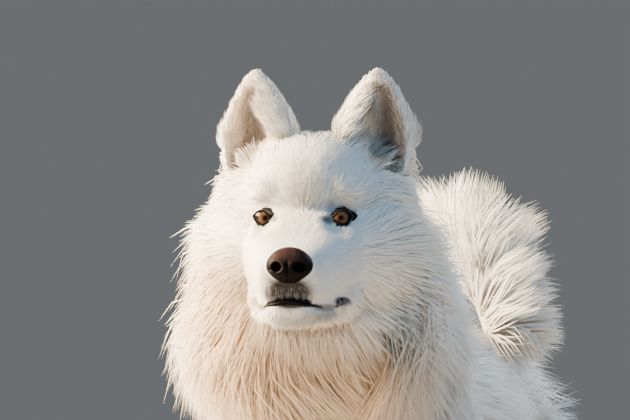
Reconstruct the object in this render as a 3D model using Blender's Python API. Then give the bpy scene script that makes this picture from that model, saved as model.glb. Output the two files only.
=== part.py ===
"""A life-size still model of a samoyed standing square, with its head up and its tail curled over its back.

Metres, +Z up. The dog looks along -Y, its left side is at +X, and its feet stand on Z = 0.
"""

import math
import random
from collections import namedtuple

import bmesh
import bpy
from mathutils import Matrix, Vector
from mathutils.bvhtree import BVHTree

# How the solids are made
CORE_SHARE = 0.5  # part of the long coat's depth that the cores fill
BLADE = 0.0005  # gap left where one body is cut into nodes
CLEAR = 0.00035  # gap left where a piece is cut clear of another node
# How much thicker than drawn a node's locks are joined, and its neighbours' locks cut from it, in each try
LOCK_GROWTHS = ((0, 0.00040), (0.00003, 0.00045), (0.00006, 0.00050), (0.00009, 0.00055), (0.00012, 0.00060))
SLIVER = 0.00002  # edges shorter than this are closed up
BODY_VOXEL = 0.006
HEAD_VOXEL = 0.0035
FOOT_VOXEL = 0.0035
BODY_TRIANGLES = 1900
HEAD_TRIANGLES = 1540
FOOT_TRIANGLES = 240
HIDDEN_SHARE = 0.68  # of the body's triangles, left after the part under the long coat is made coarser
SMOOTHING = (0.5, 8)  # strength and rounds
# Angles within which neighbouring triangles are merged, the first that leaves no flaw
FLAT_ENOUGH = (math.radians(6), math.radians(4.5), math.radians(3), math.radians(1))
SEED = 11  # of the scattering of the locks

# The head's place: the origin is midway between the eyes
HEAD_PLACE = Vector((0.0, -0.440, 0.670))
HEAD_TURN = math.radians(2.5)  # to the dog's left
HEAD = Matrix.Translation(HEAD_PLACE) @ Matrix.Rotation(HEAD_TURN, 4, "Z")

# A ring of a loft: its centre, half-width, and half-depths to either side of the centre
Ring = namedtuple("Ring", "x y z side up down coat")
Ball = namedtuple("Ball", "x y z rx ry rz coat")

TORSO = (
    Ring(0, -0.310, 0.440, 0.040, 0.045, 0.060, 0.050),
    Ring(0, -0.280, 0.445, 0.072, 0.080, 0.090, 0.050),
    Ring(0, -0.220, 0.448, 0.092, 0.100, 0.125, 0.045),
    Ring(0, -0.120, 0.448, 0.100, 0.104, 0.142, 0.042),
    Ring(0, -0.020, 0.452, 0.100, 0.094, 0.135, 0.042),
    Ring(0, 0.080, 0.458, 0.092, 0.084, 0.108, 0.042),
    Ring(0, 0.160, 0.460, 0.088, 0.080, 0.092, 0.044),
    Ring(0, 0.230, 0.456, 0.086, 0.076, 0.090, 0.046),
    Ring(0, 0.280, 0.450, 0.064, 0.056, 0.080, 0.046),
    Ring(0, 0.305, 0.445, 0.030, 0.028, 0.045, 0.046),
)
NECK = (
    Ring(-0.004, -0.395, 0.662, 0.056, 0.048, 0.052, 0.030),
    Ring(-0.008, -0.360, 0.634, 0.068, 0.062, 0.068, 0.050),
    Ring(-0.010, -0.318, 0.597, 0.070, 0.068, 0.078, 0.054),
    Ring(-0.008, -0.268, 0.552, 0.075, 0.075, 0.088, 0.056),
    Ring(-0.004, -0.212, 0.503, 0.082, 0.082, 0.095, 0.050),
    Ring(0, -0.160, 0.465, 0.080, 0.080, 0.090, 0.045),
)
FRONT_LEG = (
    Ring(0.062, -0.180, 0.440, 0.036, 0.050, 0.050, 0.014),
    Ring(0.070, -0.168, 0.370, 0.036, 0.050, 0.046, 0.014),
    Ring(0.077, -0.158, 0.310, 0.030, 0.042, 0.036, 0.014),
    Ring(0.080, -0.162, 0.240, 0.025, 0.030, 0.028, 0.013),
    Ring(0.082, -0.167, 0.170, 0.022, 0.025, 0.025, 0.012),
    Ring(0.083, -0.172, 0.110, 0.023, 0.024, 0.025, 0.011),
    Ring(0.084, -0.182, 0.060, 0.022, 0.024, 0.025, 0.010),
    Ring(0.084, -0.192, 0.030, 0.024, 0.026, 0.028, 0.008),
)
HIND_LEG = (
    Ring(0.058, 0.205, 0.470, 0.042, 0.056, 0.060, 0.014),
    Ring(0.072, 0.198, 0.400, 0.048, 0.078, 0.075, 0.015),
    Ring(0.083, 0.200, 0.330, 0.042, 0.066, 0.062, 0.015),
    Ring(0.088, 0.224, 0.265, 0.032, 0.046, 0.046, 0.014),
    Ring(0.091, 0.268, 0.205, 0.022, 0.032, 0.032, 0.013),
    Ring(0.092, 0.300, 0.160, 0.018, 0.026, 0.026, 0.012),
    Ring(0.093, 0.300, 0.110, 0.018, 0.022, 0.022, 0.012),
    Ring(0.094, 0.288, 0.060, 0.020, 0.023, 0.023, 0.010),
    Ring(0.094, 0.278, 0.030, 0.023, 0.025, 0.026, 0.008),
)
BODY_SQUARENESS = 2.3  # superellipse power of the body's rings

# The head, from midway between the eyes
CRANIUM = Ball(0, 0.066, 0.016, 0.056, 0.064, 0.050, 0.010)
TEMPLE = Ball(0.042, 0.084, 0.018, 0.032, 0.036, 0.036, 0.018)
BROW = Ball(0.024, 0.016, 0.023, 0.020, 0.013, 0.010, 0.003)
CHEEK = Ball(0.036, 0.052, -0.030, 0.036, 0.044, 0.042, 0.026)
THROAT = Ball(0, 0.036, -0.052, 0.040, 0.050, 0.034, 0.020)
MUZZLE = (
    Ring(0, -0.0815, -0.058, 0.016, 0.014, 0.012, 0.002),
    Ring(0, -0.0775, -0.057, 0.024, 0.022, 0.019, 0.002),
    Ring(0, -0.0680, -0.055, 0.029, 0.025, 0.023, 0.003),
    Ring(0, -0.0500, -0.051, 0.034, 0.027, 0.026, 0.003),
    Ring(0, -0.0300, -0.045, 0.040, 0.028, 0.030, 0.004),
    Ring(0, -0.0080, -0.036, 0.046, 0.032, 0.038, 0.005),
    Ring(0, 0.0200, -0.028, 0.050, 0.038, 0.045, 0.006),
)
JAW = (
    Ring(0, -0.0760, -0.079, 0.014, 0.008, 0.008, 0.002),
    Ring(0, -0.0710, -0.079, 0.021, 0.010, 0.012, 0.003),
    Ring(0, -0.0540, -0.077, 0.026, 0.012, 0.014, 0.003),
    Ring(0, -0.0340, -0.073, 0.032, 0.014, 0.016, 0.004),
    Ring(0, -0.0080, -0.068, 0.040, 0.018, 0.020, 0.006),
    Ring(0, 0.0200, -0.062, 0.044, 0.024, 0.024, 0.008),
)
MUZZLE_SQUARENESS = 2.5

EYE = Vector((0.0335, 0.0080, 0.0))
EYE_RADIUS = 0.0112
EYE_OUTWARD = math.radians(17)
EYE_SLANT = math.radians(7)  # the outer corner is the higher
LID = 0.0022  # thickness of the eyelids
EYE_OPENING = (0.0230, 0.0145)  # width and height between the lids

NOSE = Ball(0, -0.0780, -0.0450, 0.0215, 0.0120, 0.0160, 0)
NOSTRIL = Ball(0.0105, -0.0905, -0.0460, 0.0043, 0.0085, 0.0043, 0)
MOUTH_CENTRE = Vector((0, -0.034, -0.0725))
MOUTH_REACH = math.radians(118)  # how far round the muzzle each corner is
MOUTH_DIP = 0.0065
MOUTH_RISE = 0.0050
LIP = 0.0022
MOUTH_GAP = 0.0013
MOUTH_POINTS = 25
PHILTRUM = (Vector((0, -0.0835, -0.0540)), Vector((0, -0.0840, -0.0640)), Vector((0, -0.0835, -0.0720)))

EAR_BASE = Vector((0.0510, 0.0860, 0.0400))
EAR_TIP = Vector((0.0555, 0.0900, 0.1370))
EAR_OUTWARD = math.radians(20)
EAR_WALL = 0.0050
EAR_CUP = (0.72, 0.94)  # the cup's width and height over the ear's
# Along the ear from base to tip: share of its length, half-width, half-depth
EAR_RINGS = (
    (0.00, 0.0350, 0.0260),
    (0.22, 0.0390, 0.0250),
    (0.42, 0.0385, 0.0210),
    (0.60, 0.0300, 0.0160),
    (0.78, 0.0205, 0.0110),
    (0.91, 0.0125, 0.0075),
    (1.00, 0.0045, 0.0040),
)

# The tail's centre line from its root, over the back and down on the left side
TAIL_LINE = (
    Vector((0.000, 0.250, 0.490)),
    Vector((0.000, 0.296, 0.545)),
    Vector((0.006, 0.306, 0.597)),
    Vector((0.018, 0.272, 0.632)),
    Vector((0.038, 0.210, 0.645)),
    Vector((0.062, 0.148, 0.637)),
    Vector((0.086, 0.096, 0.608)),
    Vector((0.102, 0.066, 0.570)),
)
TAIL_RADIUS = (0.032, 0.019)  # flesh and underfur, at the root and at the tip
TAIL_CUTS = (0.34, 0.67)  # where the tail is divided, as shares of its length
TAIL_RINGS = 5  # in each length of tail

FRONT_FOOT = Vector((0.084, -0.205, 0))
HIND_FOOT = Vector((0.094, 0.262, 0))
ANKLE_CUT = 0.062  # height where each leg is parted from its foot
PAW = Ball(0, 0, 0.021, 0.030, 0.036, 0.0235, 0)
ANKLE = Ball(0, 0.018, 0.045, 0.033, 0.037, 0.0460, 0)
TOES = ((-0.0235, -0.027), (-0.0085, -0.041), (0.0085, -0.041), (0.0235, -0.027))
TOE = (0.0125, 0.0230, 0.0165)  # half-width, half-length, half-height
CLAW_LENGTH = 0.011
CLAW_RADIUS = 0.0024
CLAW_DROOP = 0.45  # how far its tip hangs, over its length

# Where the legs are parted from the torso: low and high corners of a block on the left side
LEG_BLOCKS = {
    "front": ((0.022, -0.242, -0.05), (0.250, -0.098, 0.285)),
    "hind": ((0.020, 0.098, -0.05), (0.250, 0.420, 0.335)),
}
BLOCK_LIFT = 0.20  # rise of a leg block's top from its inner to its outer edge
# Planes that part the neck from the torso and the head from the neck
NECK_CUT = Vector((0, -0.262, 0.530))
NECK_CUT_NORMAL = Vector((0, -0.72, 0.55)).normalized()
HEAD_CUT = Vector((0, -0.354, 0.642))
HEAD_CUT_NORMAL = Vector((0, -0.80, 0.42)).normalized()

# The long coat
# Along a lock: share of its length, share of its width, and height over the body as a share of its rise
LOCK_RINGS = ((0.00, 0.75, None), (0.34, 1.00, 0.55), (0.70, 0.68, 0.95))
LOCK_TIP_HEIGHT = 1.15
LOCK_SINK = 0.009  # how deep its root lies in the body
LOCK_FLATNESS = 0.22  # half-thickness over half-width
LOCK_BEND = math.radians(50)  # the most that a lock turns at a ring
LOCK_TRIES = 9000
GOLDEN_ANGLE = 2.4
PLUME_LOCKS = {"tail_root": 9, "tail_arch": 12, "tail_tip": 11}

Lock = namedtuple("Lock", "path ups width")
Coat = namedtuple("Coat", "spacing length width rise loose")
RUFF = Coat(0.049, 0.108, 0.0250, 0.031, False)
FLANK = Coat(0.067, 0.122, 0.0300, 0.024, False)
BREECHES = Coat(0.045, 0.088, 0.0200, 0.030, False)
FEATHER = Coat(0.040, 0.064, 0.0135, 0, True)
CHEEKS = Coat(0.0320, 0.080, 0.0175, 0, True)
PLUME = Coat(0, 0.125, 0.0270, 0, True)

# Colour and roughness
COAT = ((0.86, 0.83, 0.77), 0.85)
FINISHES = {
    "nose": ((0.035, 0.026, 0.024), 0.45),
    "eye": ((0.055, 0.026, 0.012), 0.12),
    "claw": ((0.16, 0.13, 0.11), 0.40),
}
SHARP_EDGE = math.radians(42)

SIDES = {"left": 1, "right": -1}


# Basic shapes

def ring_axes(points, index):
    """Width and depth directions of ring number index on a line of centres."""
    before = points[max(index - 1, 0)]
    after = points[min(index + 1, len(points) - 1)]
    along = (after - before).normalized()
    side = Vector((1, 0, 0))
    side = (side - along * side.dot(along)).normalized()
    return side, side.cross(along)


def rounded(angle, power):
    """A point of the unit superellipse."""
    c, s = math.cos(angle), math.sin(angle)
    share = 2 / power
    return math.copysign(abs(c) ** share, c), math.copysign(abs(s) ** share, s)


def face_outwards(bm):
    """Turns every face of a closed bmesh outwards."""
    bmesh.ops.recalc_face_normals(bm, faces=bm.faces[:])
    if bm.calc_volume(signed=True) < 0:
        bmesh.ops.reverse_faces(bm, faces=bm.faces[:])


def grow_column(rings):
    """A closed bmesh whose sections are the given rings of points. A last ring of one point makes a tip."""
    bm = bmesh.new()
    cap = bm.faces.new([bm.verts.new(point) for point in rings[0]])
    base = cap
    for ring in rings[1:]:
        grown = bmesh.ops.extrude_face_region(bm, geom=[cap])
        if cap is not base:
            bmesh.ops.delete(bm, geom=[cap], context="FACES_ONLY")
        cap = next(item for item in grown["geom"] if isinstance(item, bmesh.types.BMFace))
        if len(ring) == 1:
            bmesh.ops.pointmerge(bm, verts=list(cap.verts), merge_co=ring[0])
            break
        for vert, point in zip(cap.verts, ring):
            vert.co = point
    bmesh.ops.triangulate(bm, faces=bm.faces[:])
    face_outwards(bm)
    return bm


def loft(stations, share, power, mirrored=1, count=20):
    """A body through rings whose size is the flesh plus a share of the coat."""
    centres = [Vector((r.x * mirrored, r.y, r.z)) for r in stations]
    rings = []
    for index, station in enumerate(stations):
        side, up = ring_axes(centres, index)
        thick = station.coat * share
        ring = []
        for k in range(count):
            across, high = rounded(2 * math.pi * k / count, power)
            depth = station.up if high > 0 else station.down
            ring.append(centres[index] + side * across * (station.side + thick) + up * high * (depth + thick))
        rings.append(ring)
    return grow_column(rings)


def ball(shape, share, mirrored=1, fineness=3):
    """An ellipsoid whose size is the flesh plus a share of the coat."""
    thick = shape.coat * share
    place = Matrix.Translation((shape.x * mirrored, shape.y, shape.z))
    size = Matrix.Diagonal((shape.rx + thick, shape.ry + thick, shape.rz + thick, 1))
    bm = bmesh.new()
    bmesh.ops.create_icosphere(bm, subdivisions=fineness, radius=1, matrix=place @ size)
    return bm


def new_object(name, bm, matrix=None):
    """The bmesh as an object in the scene, freed."""
    mesh = bpy.data.meshes.new(name)
    if matrix is not None:
        bm.transform(matrix)
    bm.to_mesh(mesh)
    bm.free()
    obj = bpy.data.objects.new(name, mesh)
    bpy.context.scene.collection.objects.link(obj)
    return obj


def put_in_order(bm):
    """Numbers the vertices and faces by place, so that every run gives the same mesh."""
    for rank, vert in enumerate(sorted(bm.verts, key=lambda vert: vert.co[:])):
        vert.index = rank
    bm.verts.sort()
    for items in (bm.faces, bm.edges):
        ranked = sorted(items, key=lambda item: sorted(vert.index for vert in item.verts))
        for rank, item in enumerate(ranked):
            item.index = rank
        items.sort()


def settle(obj):
    """Applies the object's modifiers."""
    graph = bpy.context.evaluated_depsgraph_get()
    graph.update()
    mesh = bpy.data.meshes.new_from_object(obj.evaluated_get(graph))
    obj.modifiers.clear()
    old = obj.data
    obj.data = mesh
    bpy.data.meshes.remove(old)
    bm = bmesh.new()
    bm.from_mesh(mesh)
    put_in_order(bm)
    bm.to_mesh(mesh)
    bm.free()
    return obj


def keep_largest(obj):
    """Leaves only the largest closed surface of the object."""
    bm = bmesh.new()
    bm.from_mesh(obj.data)
    bmesh.ops.triangulate(bm, faces=bm.faces[:])
    put_in_order(bm)
    unseen = set(bm.verts)
    islands = []
    for first in bm.verts:
        if first not in unseen:
            continue
        unseen.discard(first)
        island = [first]
        for reached in island:
            for edge in reached.link_edges:
                other = edge.other_vert(reached)
                if other in unseen:
                    unseen.discard(other)
                    island.append(other)
        islands.append(island)
    largest = max(islands, key=len)
    loose = [vert for island in islands if island is not largest for vert in island]
    bmesh.ops.delete(bm, geom=loose, context="VERTS")
    bm.to_mesh(obj.data)
    bmesh.ops.dissolve_degenerate(bm, dist=SLIVER, edges=bm.edges[:])
    bmesh.ops.triangulate(bm, faces=bm.faces[:])
    if is_whole(bm):
        bm.to_mesh(obj.data)
    bm.free()
    return obj


def crosses_itself(bm):
    bm.faces.ensure_lookup_table()
    tree = BVHTree.FromBMesh(bm)
    for a, b in tree.overlap(tree):
        if a < b and not set(bm.faces[a].verts) & set(bm.faces[b].verts):
            return True
    return False


def is_whole(bm):
    """Whether a bmesh of triangles is closed and nowhere passes through itself."""
    return all(len(edge.link_faces) == 2 for edge in bm.edges) and not crosses_itself(bm)


def is_sound(mesh):
    bm = bmesh.new()
    bm.from_mesh(mesh)
    sound = is_whole(bm)
    bm.free()
    return sound


def is_closed(mesh):
    bm = bmesh.new()
    bm.from_mesh(mesh)
    closed = all(len(edge.link_faces) == 2 for edge in bm.edges)
    bm.free()
    return closed


def combine(obj, others, operation):
    """Joins or cuts the object with other objects, which are then removed."""
    group = bpy.data.collections.new("pieces")
    bpy.context.scene.collection.children.link(group)
    for other in others:
        group.objects.link(other)
    before = obj.data.copy()
    for solver in ("MANIFOLD", "EXACT"):
        boolean = obj.modifiers.new("combine", "BOOLEAN")
        boolean.operation = operation
        boolean.operand_type = "COLLECTION"
        boolean.collection = group
        boolean.solver = solver
        settle(obj)
        if is_closed(obj.data):
            break
        if solver == "MANIFOLD":
            obj.data = before.copy()
    for other in others:
        bpy.data.objects.remove(other)
    bpy.data.collections.remove(group)
    return obj


def melt(name, shapes, voxel, triangles, matrix=None, hidden=None):
    """One smooth closed body from overlapping shapes."""
    bm = bmesh.new()
    for shape in shapes:
        mesh = bpy.data.meshes.new("shape")
        shape.to_mesh(mesh)
        shape.free()
        bm.from_mesh(mesh)
        bpy.data.meshes.remove(mesh)
    obj = new_object(name, bm, matrix)
    remesh = obj.modifiers.new("melt", "REMESH")
    remesh.mode = "VOXEL"
    remesh.voxel_size = voxel
    smooth = obj.modifiers.new("smooth", "SMOOTH")
    smooth.factor, smooth.iterations = SMOOTHING
    settle(obj)
    decimate = obj.modifiers.new("thin", "DECIMATE")
    decimate.ratio = triangles / (2 * len(obj.data.polygons))
    settle(obj)
    if hidden:
        group = obj.vertex_groups.new(name="hidden")
        group.add([vert.index for vert in obj.data.vertices if hidden(vert.co)], 1.0, "REPLACE")
        coarser = obj.modifiers.new("coarser", "DECIMATE")
        coarser.vertex_group = "hidden"
        coarser.ratio = HIDDEN_SHARE
        settle(obj)
        obj.vertex_groups.clear()
    return keep_largest(obj)


def copy_of(obj, name):
    twin = obj.copy()
    twin.data = obj.data.copy()
    twin.name = name
    bpy.context.scene.collection.objects.link(twin)
    return twin


def swollen(obj, amount):
    """A copy of the object with its surface moved outwards."""
    twin = copy_of(obj, "swollen")
    for vert, normal in [(v, v.normal.copy()) for v in twin.data.vertices]:
        vert.co += normal * amount
    return twin


def block(low, high, lift=0.0, mirrored=1):
    """A box whose top rises outwards by lift."""
    bm = bmesh.new()
    bmesh.ops.create_cube(bm, size=1)
    for vert in bm.verts:
        outer, rear, top = (value > 0 for value in vert.co)
        x = (high if outer else low)[0]
        z = (high if top else low)[2] + (lift if top and outer else 0)
        vert.co = (x * mirrored, (high if rear else low)[1], z)
    face_outwards(bm)
    return new_object("block", bm)


def half(obj, point, normal):
    """Keeps the part of the object that the normal points to, with a flat closing face."""
    bm = bmesh.new()
    bm.from_mesh(obj.data)
    everything = bm.verts[:] + bm.edges[:] + bm.faces[:]
    bmesh.ops.bisect_plane(bm, geom=everything, plane_co=point, plane_no=normal, clear_inner=True)
    rim = [edge for edge in bm.edges if edge.is_boundary]
    bmesh.ops.triangle_fill(bm, edges=rim, use_dissolve=False, use_beauty=True)
    face_outwards(bm)
    bm.to_mesh(obj.data)
    bm.free()
    return keep_largest(obj)


def tube(points, radius, count=6):
    """A closed tube along a line of points."""
    rings = []
    for index, point in enumerate(points):
        before = points[max(index - 1, 0)]
        after = points[min(index + 1, len(points) - 1)]
        along = (after - before).normalized()
        up = Vector((0, 0, 1))
        up = (up - along * up.dot(along)).normalized()
        side = along.cross(up)
        rings.append([
            point + side * math.cos(turn) * radius + up * math.sin(turn) * radius
            for turn in (2 * math.pi * k / count for k in range(count))
        ])
    return grow_column(rings)


# The head

def eye_frame(mirrored):
    """The eye's place, with its -Y axis looking out."""
    return (
        Matrix.Translation((EYE.x * mirrored, EYE.y, EYE.z))
        @ Matrix.Rotation(EYE_OUTWARD * mirrored, 4, "Z")
        @ Matrix.Rotation(-EYE_SLANT * mirrored, 4, "Y")
    )


def sphere(radius, matrix, rows=8):
    bm = bmesh.new()
    bmesh.ops.create_uvsphere(bm, u_segments=rows * 2, v_segments=rows, radius=radius)
    return new_object("sphere", bm, matrix)


def eye_opening(mirrored):
    """A prism the shape of the gap between the lids, an almond between two arcs."""
    width, height = EYE_OPENING
    steps = 8
    upper = [Vector((width * (k / steps - 0.5), 0, height / 2 * math.sin(math.pi * k / steps))) for k in range(steps)]
    lower = [Vector((-point.x, 0, -point.z)) for point in upper]
    outline = upper + lower
    near, far = Vector((0, -EYE_RADIUS * 2.7, 0)), Vector((0, -EYE_RADIUS * 0.45, 0))
    bm = grow_column([[point + near for point in outline], [point + far for point in outline]])
    return new_object("opening", bm, HEAD @ eye_frame(mirrored))


def mouth_line(surface):
    """Points along the line of the mouth, from its right corner to its left, on the muzzle."""
    points = []
    for k in range(MOUTH_POINTS):
        turn = MOUTH_REACH * (2 * k / (MOUTH_POINTS - 1) - 1)
        share = abs(turn) / MOUTH_REACH
        height = MOUTH_CENTRE.z - MOUTH_DIP * math.sin(math.pi * share) + MOUTH_RISE * share * share
        start = HEAD @ Vector((0, MOUTH_CENTRE.y, height))
        outward = HEAD.to_3x3() @ Vector((math.sin(turn), -math.cos(turn), 0))
        hit, normal, _, _ = surface.ray_cast(start, outward)
        points.append((hit, outward))
    return points


def make_head():
    shapes = [
        ball(CRANIUM, 1),
        ball(THROAT, CORE_SHARE),
        loft(MUZZLE, 1, MUZZLE_SQUARENESS),
        loft(JAW, 1, MUZZLE_SQUARENESS),
    ]
    for mirrored in SIDES.values():
        shapes += [ball(CHEEK, CORE_SHARE, mirrored), ball(TEMPLE, CORE_SHARE, mirrored)]
        shapes.append(ball(BROW, 1, mirrored))
    head = melt("head", shapes, HEAD_VOXEL, HEAD_TRIANGLES, HEAD)
    surface = BVHTree.FromObject(head, bpy.context.evaluated_depsgraph_get())
    mouth = mouth_line(surface)
    lips = new_object("lips", tube([hit for hit, _ in mouth], LIP))
    lids = [sphere(EYE_RADIUS + LID, HEAD @ eye_frame(m)) for m in SIDES.values()]
    combine(head, [lips] + lids, "UNION")
    gap = new_object("gap", tube([hit + out * LIP for hit, out in mouth], MOUTH_GAP, 4))
    philtrum = new_object("philtrum", tube([HEAD @ point for point in PHILTRUM], MOUTH_GAP, 4))
    sockets = [sphere(EYE_RADIUS + CLEAR, HEAD @ eye_frame(m)) for m in SIDES.values()]
    openings = [eye_opening(m) for m in SIDES.values()]
    combine(head, [gap, philtrum] + sockets + openings, "DIFFERENCE")
    return keep_largest(head)


def make_nose(head):
    nose = new_object("nose", ball(NOSE, 0), HEAD)
    nostrils = [new_object("nostril", ball(NOSTRIL, 0, m, 2), HEAD) for m in SIDES.values()]
    combine(nose, [swollen(head, CLEAR)] + nostrils, "DIFFERENCE")
    return keep_largest(nose)


def ear_ring(place, outward, half_width, half_depth, back, count=12):
    """A level ellipse of the ear, moved back by so much."""
    ring = []
    for k in range(count):
        turn = 2 * math.pi * k / count
        ring.append(place + outward @ Vector((half_width * math.cos(turn), back + half_depth * math.sin(turn), 0)))
    return ring


def make_ear(name, mirrored, head):
    """A thick leaf, hollowed from the front into a cup."""
    outward = Matrix.Rotation(EAR_OUTWARD * mirrored, 3, "Z")
    flip = Vector((mirrored, 1, 1))
    outer, inner = [], []
    for share, half_width, half_depth in EAR_RINGS:
        place = EAR_BASE.lerp(EAR_TIP, share) * flip
        outer.append(ear_ring(place, outward, half_width, half_depth, 0))
    for share, half_width, half_depth in ((-0.05, *EAR_RINGS[0][1:]), *EAR_RINGS[1:-1]):
        place = EAR_BASE.lerp(EAR_TIP, share * EAR_CUP[1]) * flip
        reach = 2 * half_depth
        inner.append(ear_ring(place, outward, half_width * EAR_CUP[0], reach, half_depth - EAR_WALL - reach))
    ear = new_object(name, grow_column(outer), HEAD)
    cup = new_object("cup", grow_column(inner), HEAD)
    combine(ear, [cup, swollen(head, CLEAR)], "DIFFERENCE")
    return keep_largest(ear)


def make_eye(name, mirrored):
    eye = sphere(EYE_RADIUS, HEAD @ eye_frame(mirrored))
    eye.name = name
    return eye


# The body

def make_body():
    shapes = [loft(TORSO, CORE_SHARE, BODY_SQUARENESS), loft(NECK, CORE_SHARE, BODY_SQUARENESS)]
    for mirrored in SIDES.values():
        shapes.append(loft(FRONT_LEG, 1, BODY_SQUARENESS, mirrored))
        shapes.append(loft(HIND_LEG, 1, BODY_SQUARENESS, mirrored))
    return melt("body", shapes, BODY_VOXEL, BODY_TRIANGLES, hidden=under_long_coat)


def leg_block(pair, mirrored, swell):
    low, high = LEG_BLOCKS[pair]
    grow = Vector((swell, swell, swell))
    return block(Vector(low) - grow, Vector(high) + grow, BLOCK_LIFT, mirrored)


def make_torso_and_legs(body):
    """Cuts the body into neck, torso and four legs. Returns them by name."""
    parts = {}
    for pair in LEG_BLOCKS:
        for side, mirrored in SIDES.items():
            leg = copy_of(body, f"leg_{pair}_{side}")
            combine(leg, [leg_block(pair, mirrored, -BLADE / 2)], "INTERSECT")
            parts[leg.name] = half(keep_largest(leg), (0, 0, ANKLE_CUT + BLADE), (0, 0, 1))
    blocks = [leg_block(pair, m, BLADE / 2) for pair in LEG_BLOCKS for m in SIDES.values()]
    combine(body, blocks, "DIFFERENCE")
    keep_largest(body)
    neck = copy_of(body, "neck")
    slope = (NECK_CUT_NORMAL * BLADE) / 2
    parts["neck"] = half(neck, NECK_CUT + slope, NECK_CUT_NORMAL)
    parts["torso"] = half(body, NECK_CUT - slope, -NECK_CUT_NORMAL)
    body.name = "torso"
    return parts


def make_foot(name, place, mirrored):
    shapes = [ball(PAW, 0), ball(ANKLE, 0)]
    for x, y in TOES:
        shapes.append(ball(Ball(x, y, TOE[2] - 0.001, *TOE, 0), 0))
    centre = Matrix.Translation((place.x * mirrored, place.y, 0))
    foot = melt(name, shapes, FOOT_VOXEL, FOOT_TRIANGLES, centre)
    half(foot, (0, 0, 0), (0, 0, 1))
    return half(foot, (0, 0, ANKLE_CUT), (0, 0, -1))


def make_claws(foot_name, foot, place, mirrored):
    for number, (x, y) in enumerate(TOES, 1):
        root = Vector((place.x * mirrored + x, place.y + y - TOE[1] * 0.80, TOE[2] * 1.05))
        rings = []
        for share, size in ((-0.35, 1.0), (0.1, 1.0), (0.55, 0.7)):
            centre = root + Vector((0, -share, -CLAW_DROOP * share * share)) * CLAW_LENGTH
            rings.append([
                centre + CLAW_RADIUS * size * Vector((math.cos(turn) * 0.8, 0, math.sin(turn)))
                for turn in (math.pi * k / 3 for k in range(6))
            ])
        rings.append([root + Vector((0, -1, -CLAW_DROOP)) * CLAW_LENGTH])
        name = foot_name.replace("foot", "claw") + f"_{number}"
        claw = new_object(name, grow_column(rings))
        combine(claw, [swollen(foot, CLEAR)], "DIFFERENCE")
        keep_largest(claw)


# The tail

def along_line(points, share):
    """A point on a smooth curve through the points, share 0 to 1."""
    place = share * (len(points) - 1)
    index = min(int(place), len(points) - 2)
    part = place - index
    a, b = points[index], points[index + 1]
    before = points[max(index - 1, 0)]
    after = points[min(index + 2, len(points) - 1)]
    start, end = (b - before) / 2, (after - a) / 2
    square, cube = part * part, part * part * part
    return (
        a * (2 * cube - 3 * square + 1) + start * (cube - 2 * square + part)
        + b * (3 * square - 2 * cube) + end * (cube - square)
    )


def tail_length():
    steps = 60
    points = [along_line(TAIL_LINE, k / steps) for k in range(steps + 1)]
    return sum((b - a).length for a, b in zip(points, points[1:]))


def tail_radius(share):
    base, tip = TAIL_RADIUS
    return base + (tip - base) * share


def make_tail_length(name, start, end):
    rings = []
    for k in range(TAIL_RINGS):
        share = start + (end - start) * k / (TAIL_RINGS - 1)
        centre = along_line(TAIL_LINE, share)
        along = (along_line(TAIL_LINE, min(1, share + 0.01)) - along_line(TAIL_LINE, max(0, share - 0.01))).normalized()
        side = Vector((1, 0, 0))
        side = (side - along * side.dot(along)).normalized()
        up = side.cross(along)
        radius = tail_radius(share)
        rings.append([
            centre + (side * math.cos(turn) + up * math.sin(turn)) * radius
            for turn in (2 * math.pi * j / 12 for j in range(12))
        ])
    return new_object(name, grow_column(rings))


# The long coat on its nodes

def smooth_step(low, high, value):
    share = min(1.0, max(0.0, (value - low) / (high - low)))
    return share * share * (3 - 2 * share)


def lock_mesh(lock, grow=0.0):
    """A flat leaf along the lock's path that ends in a point, thickened all round by grow."""
    rings = []
    thin = LOCK_FLATNESS / math.hypot(1, LOCK_FLATNESS)
    for index, (_, share, _) in enumerate(LOCK_RINGS):
        before = lock.path[max(index - 1, 0)]
        along = (lock.path[index + 1] - before).normalized()
        up = lock.ups[index]
        up = (up - along * up.dot(along)).normalized()
        half_width = lock.width * share
        half_width *= 1 + grow / (half_width * thin)
        side = along.cross(up) * half_width
        lift = up * half_width * LOCK_FLATNESS
        centre = lock.path[index] if index else lock.path[0] - along * grow
        rings.append([centre - side, centre - lift, centre + side, centre + lift])
    end = (lock.path[-1] - lock.path[-2]).normalized()
    rings.append([lock.path[-1] + end * grow * 12])
    return grow_column(rings)


def body_lie(place):
    """Which way the coat lies on the body: away from the face, down the chest, then back along the flanks."""
    away = (place - HEAD_PLACE).normalized() + Vector((0, 0.10, -0.75))
    back = Vector((0, 1.0, -0.40 - 1.2 * smooth_step(0.20, 0.31, place.y)))
    return away.lerp(back, smooth_step(-0.27, -0.08, place.y))


def head_lie(place):
    """On the head the coat lies away from the nose."""
    return HEAD.to_3x3() @ ((HEAD.inverted() @ place) - Vector((0, -0.12, 0.09)))


def under_long_coat(place):
    found = body_coat(place)
    return bool(found) and found[1] in (RUFF, FLANK)


def in_leg(place, pair, margin):
    low, high = LEG_BLOCKS[pair]
    out = abs(place.x) - low[0]
    top = high[2] + BLOCK_LIFT * out / (high[0] - low[0])
    inside = low[1] - margin < place.y < high[1] + margin
    return inside and out > -margin and place.z < top + margin


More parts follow.
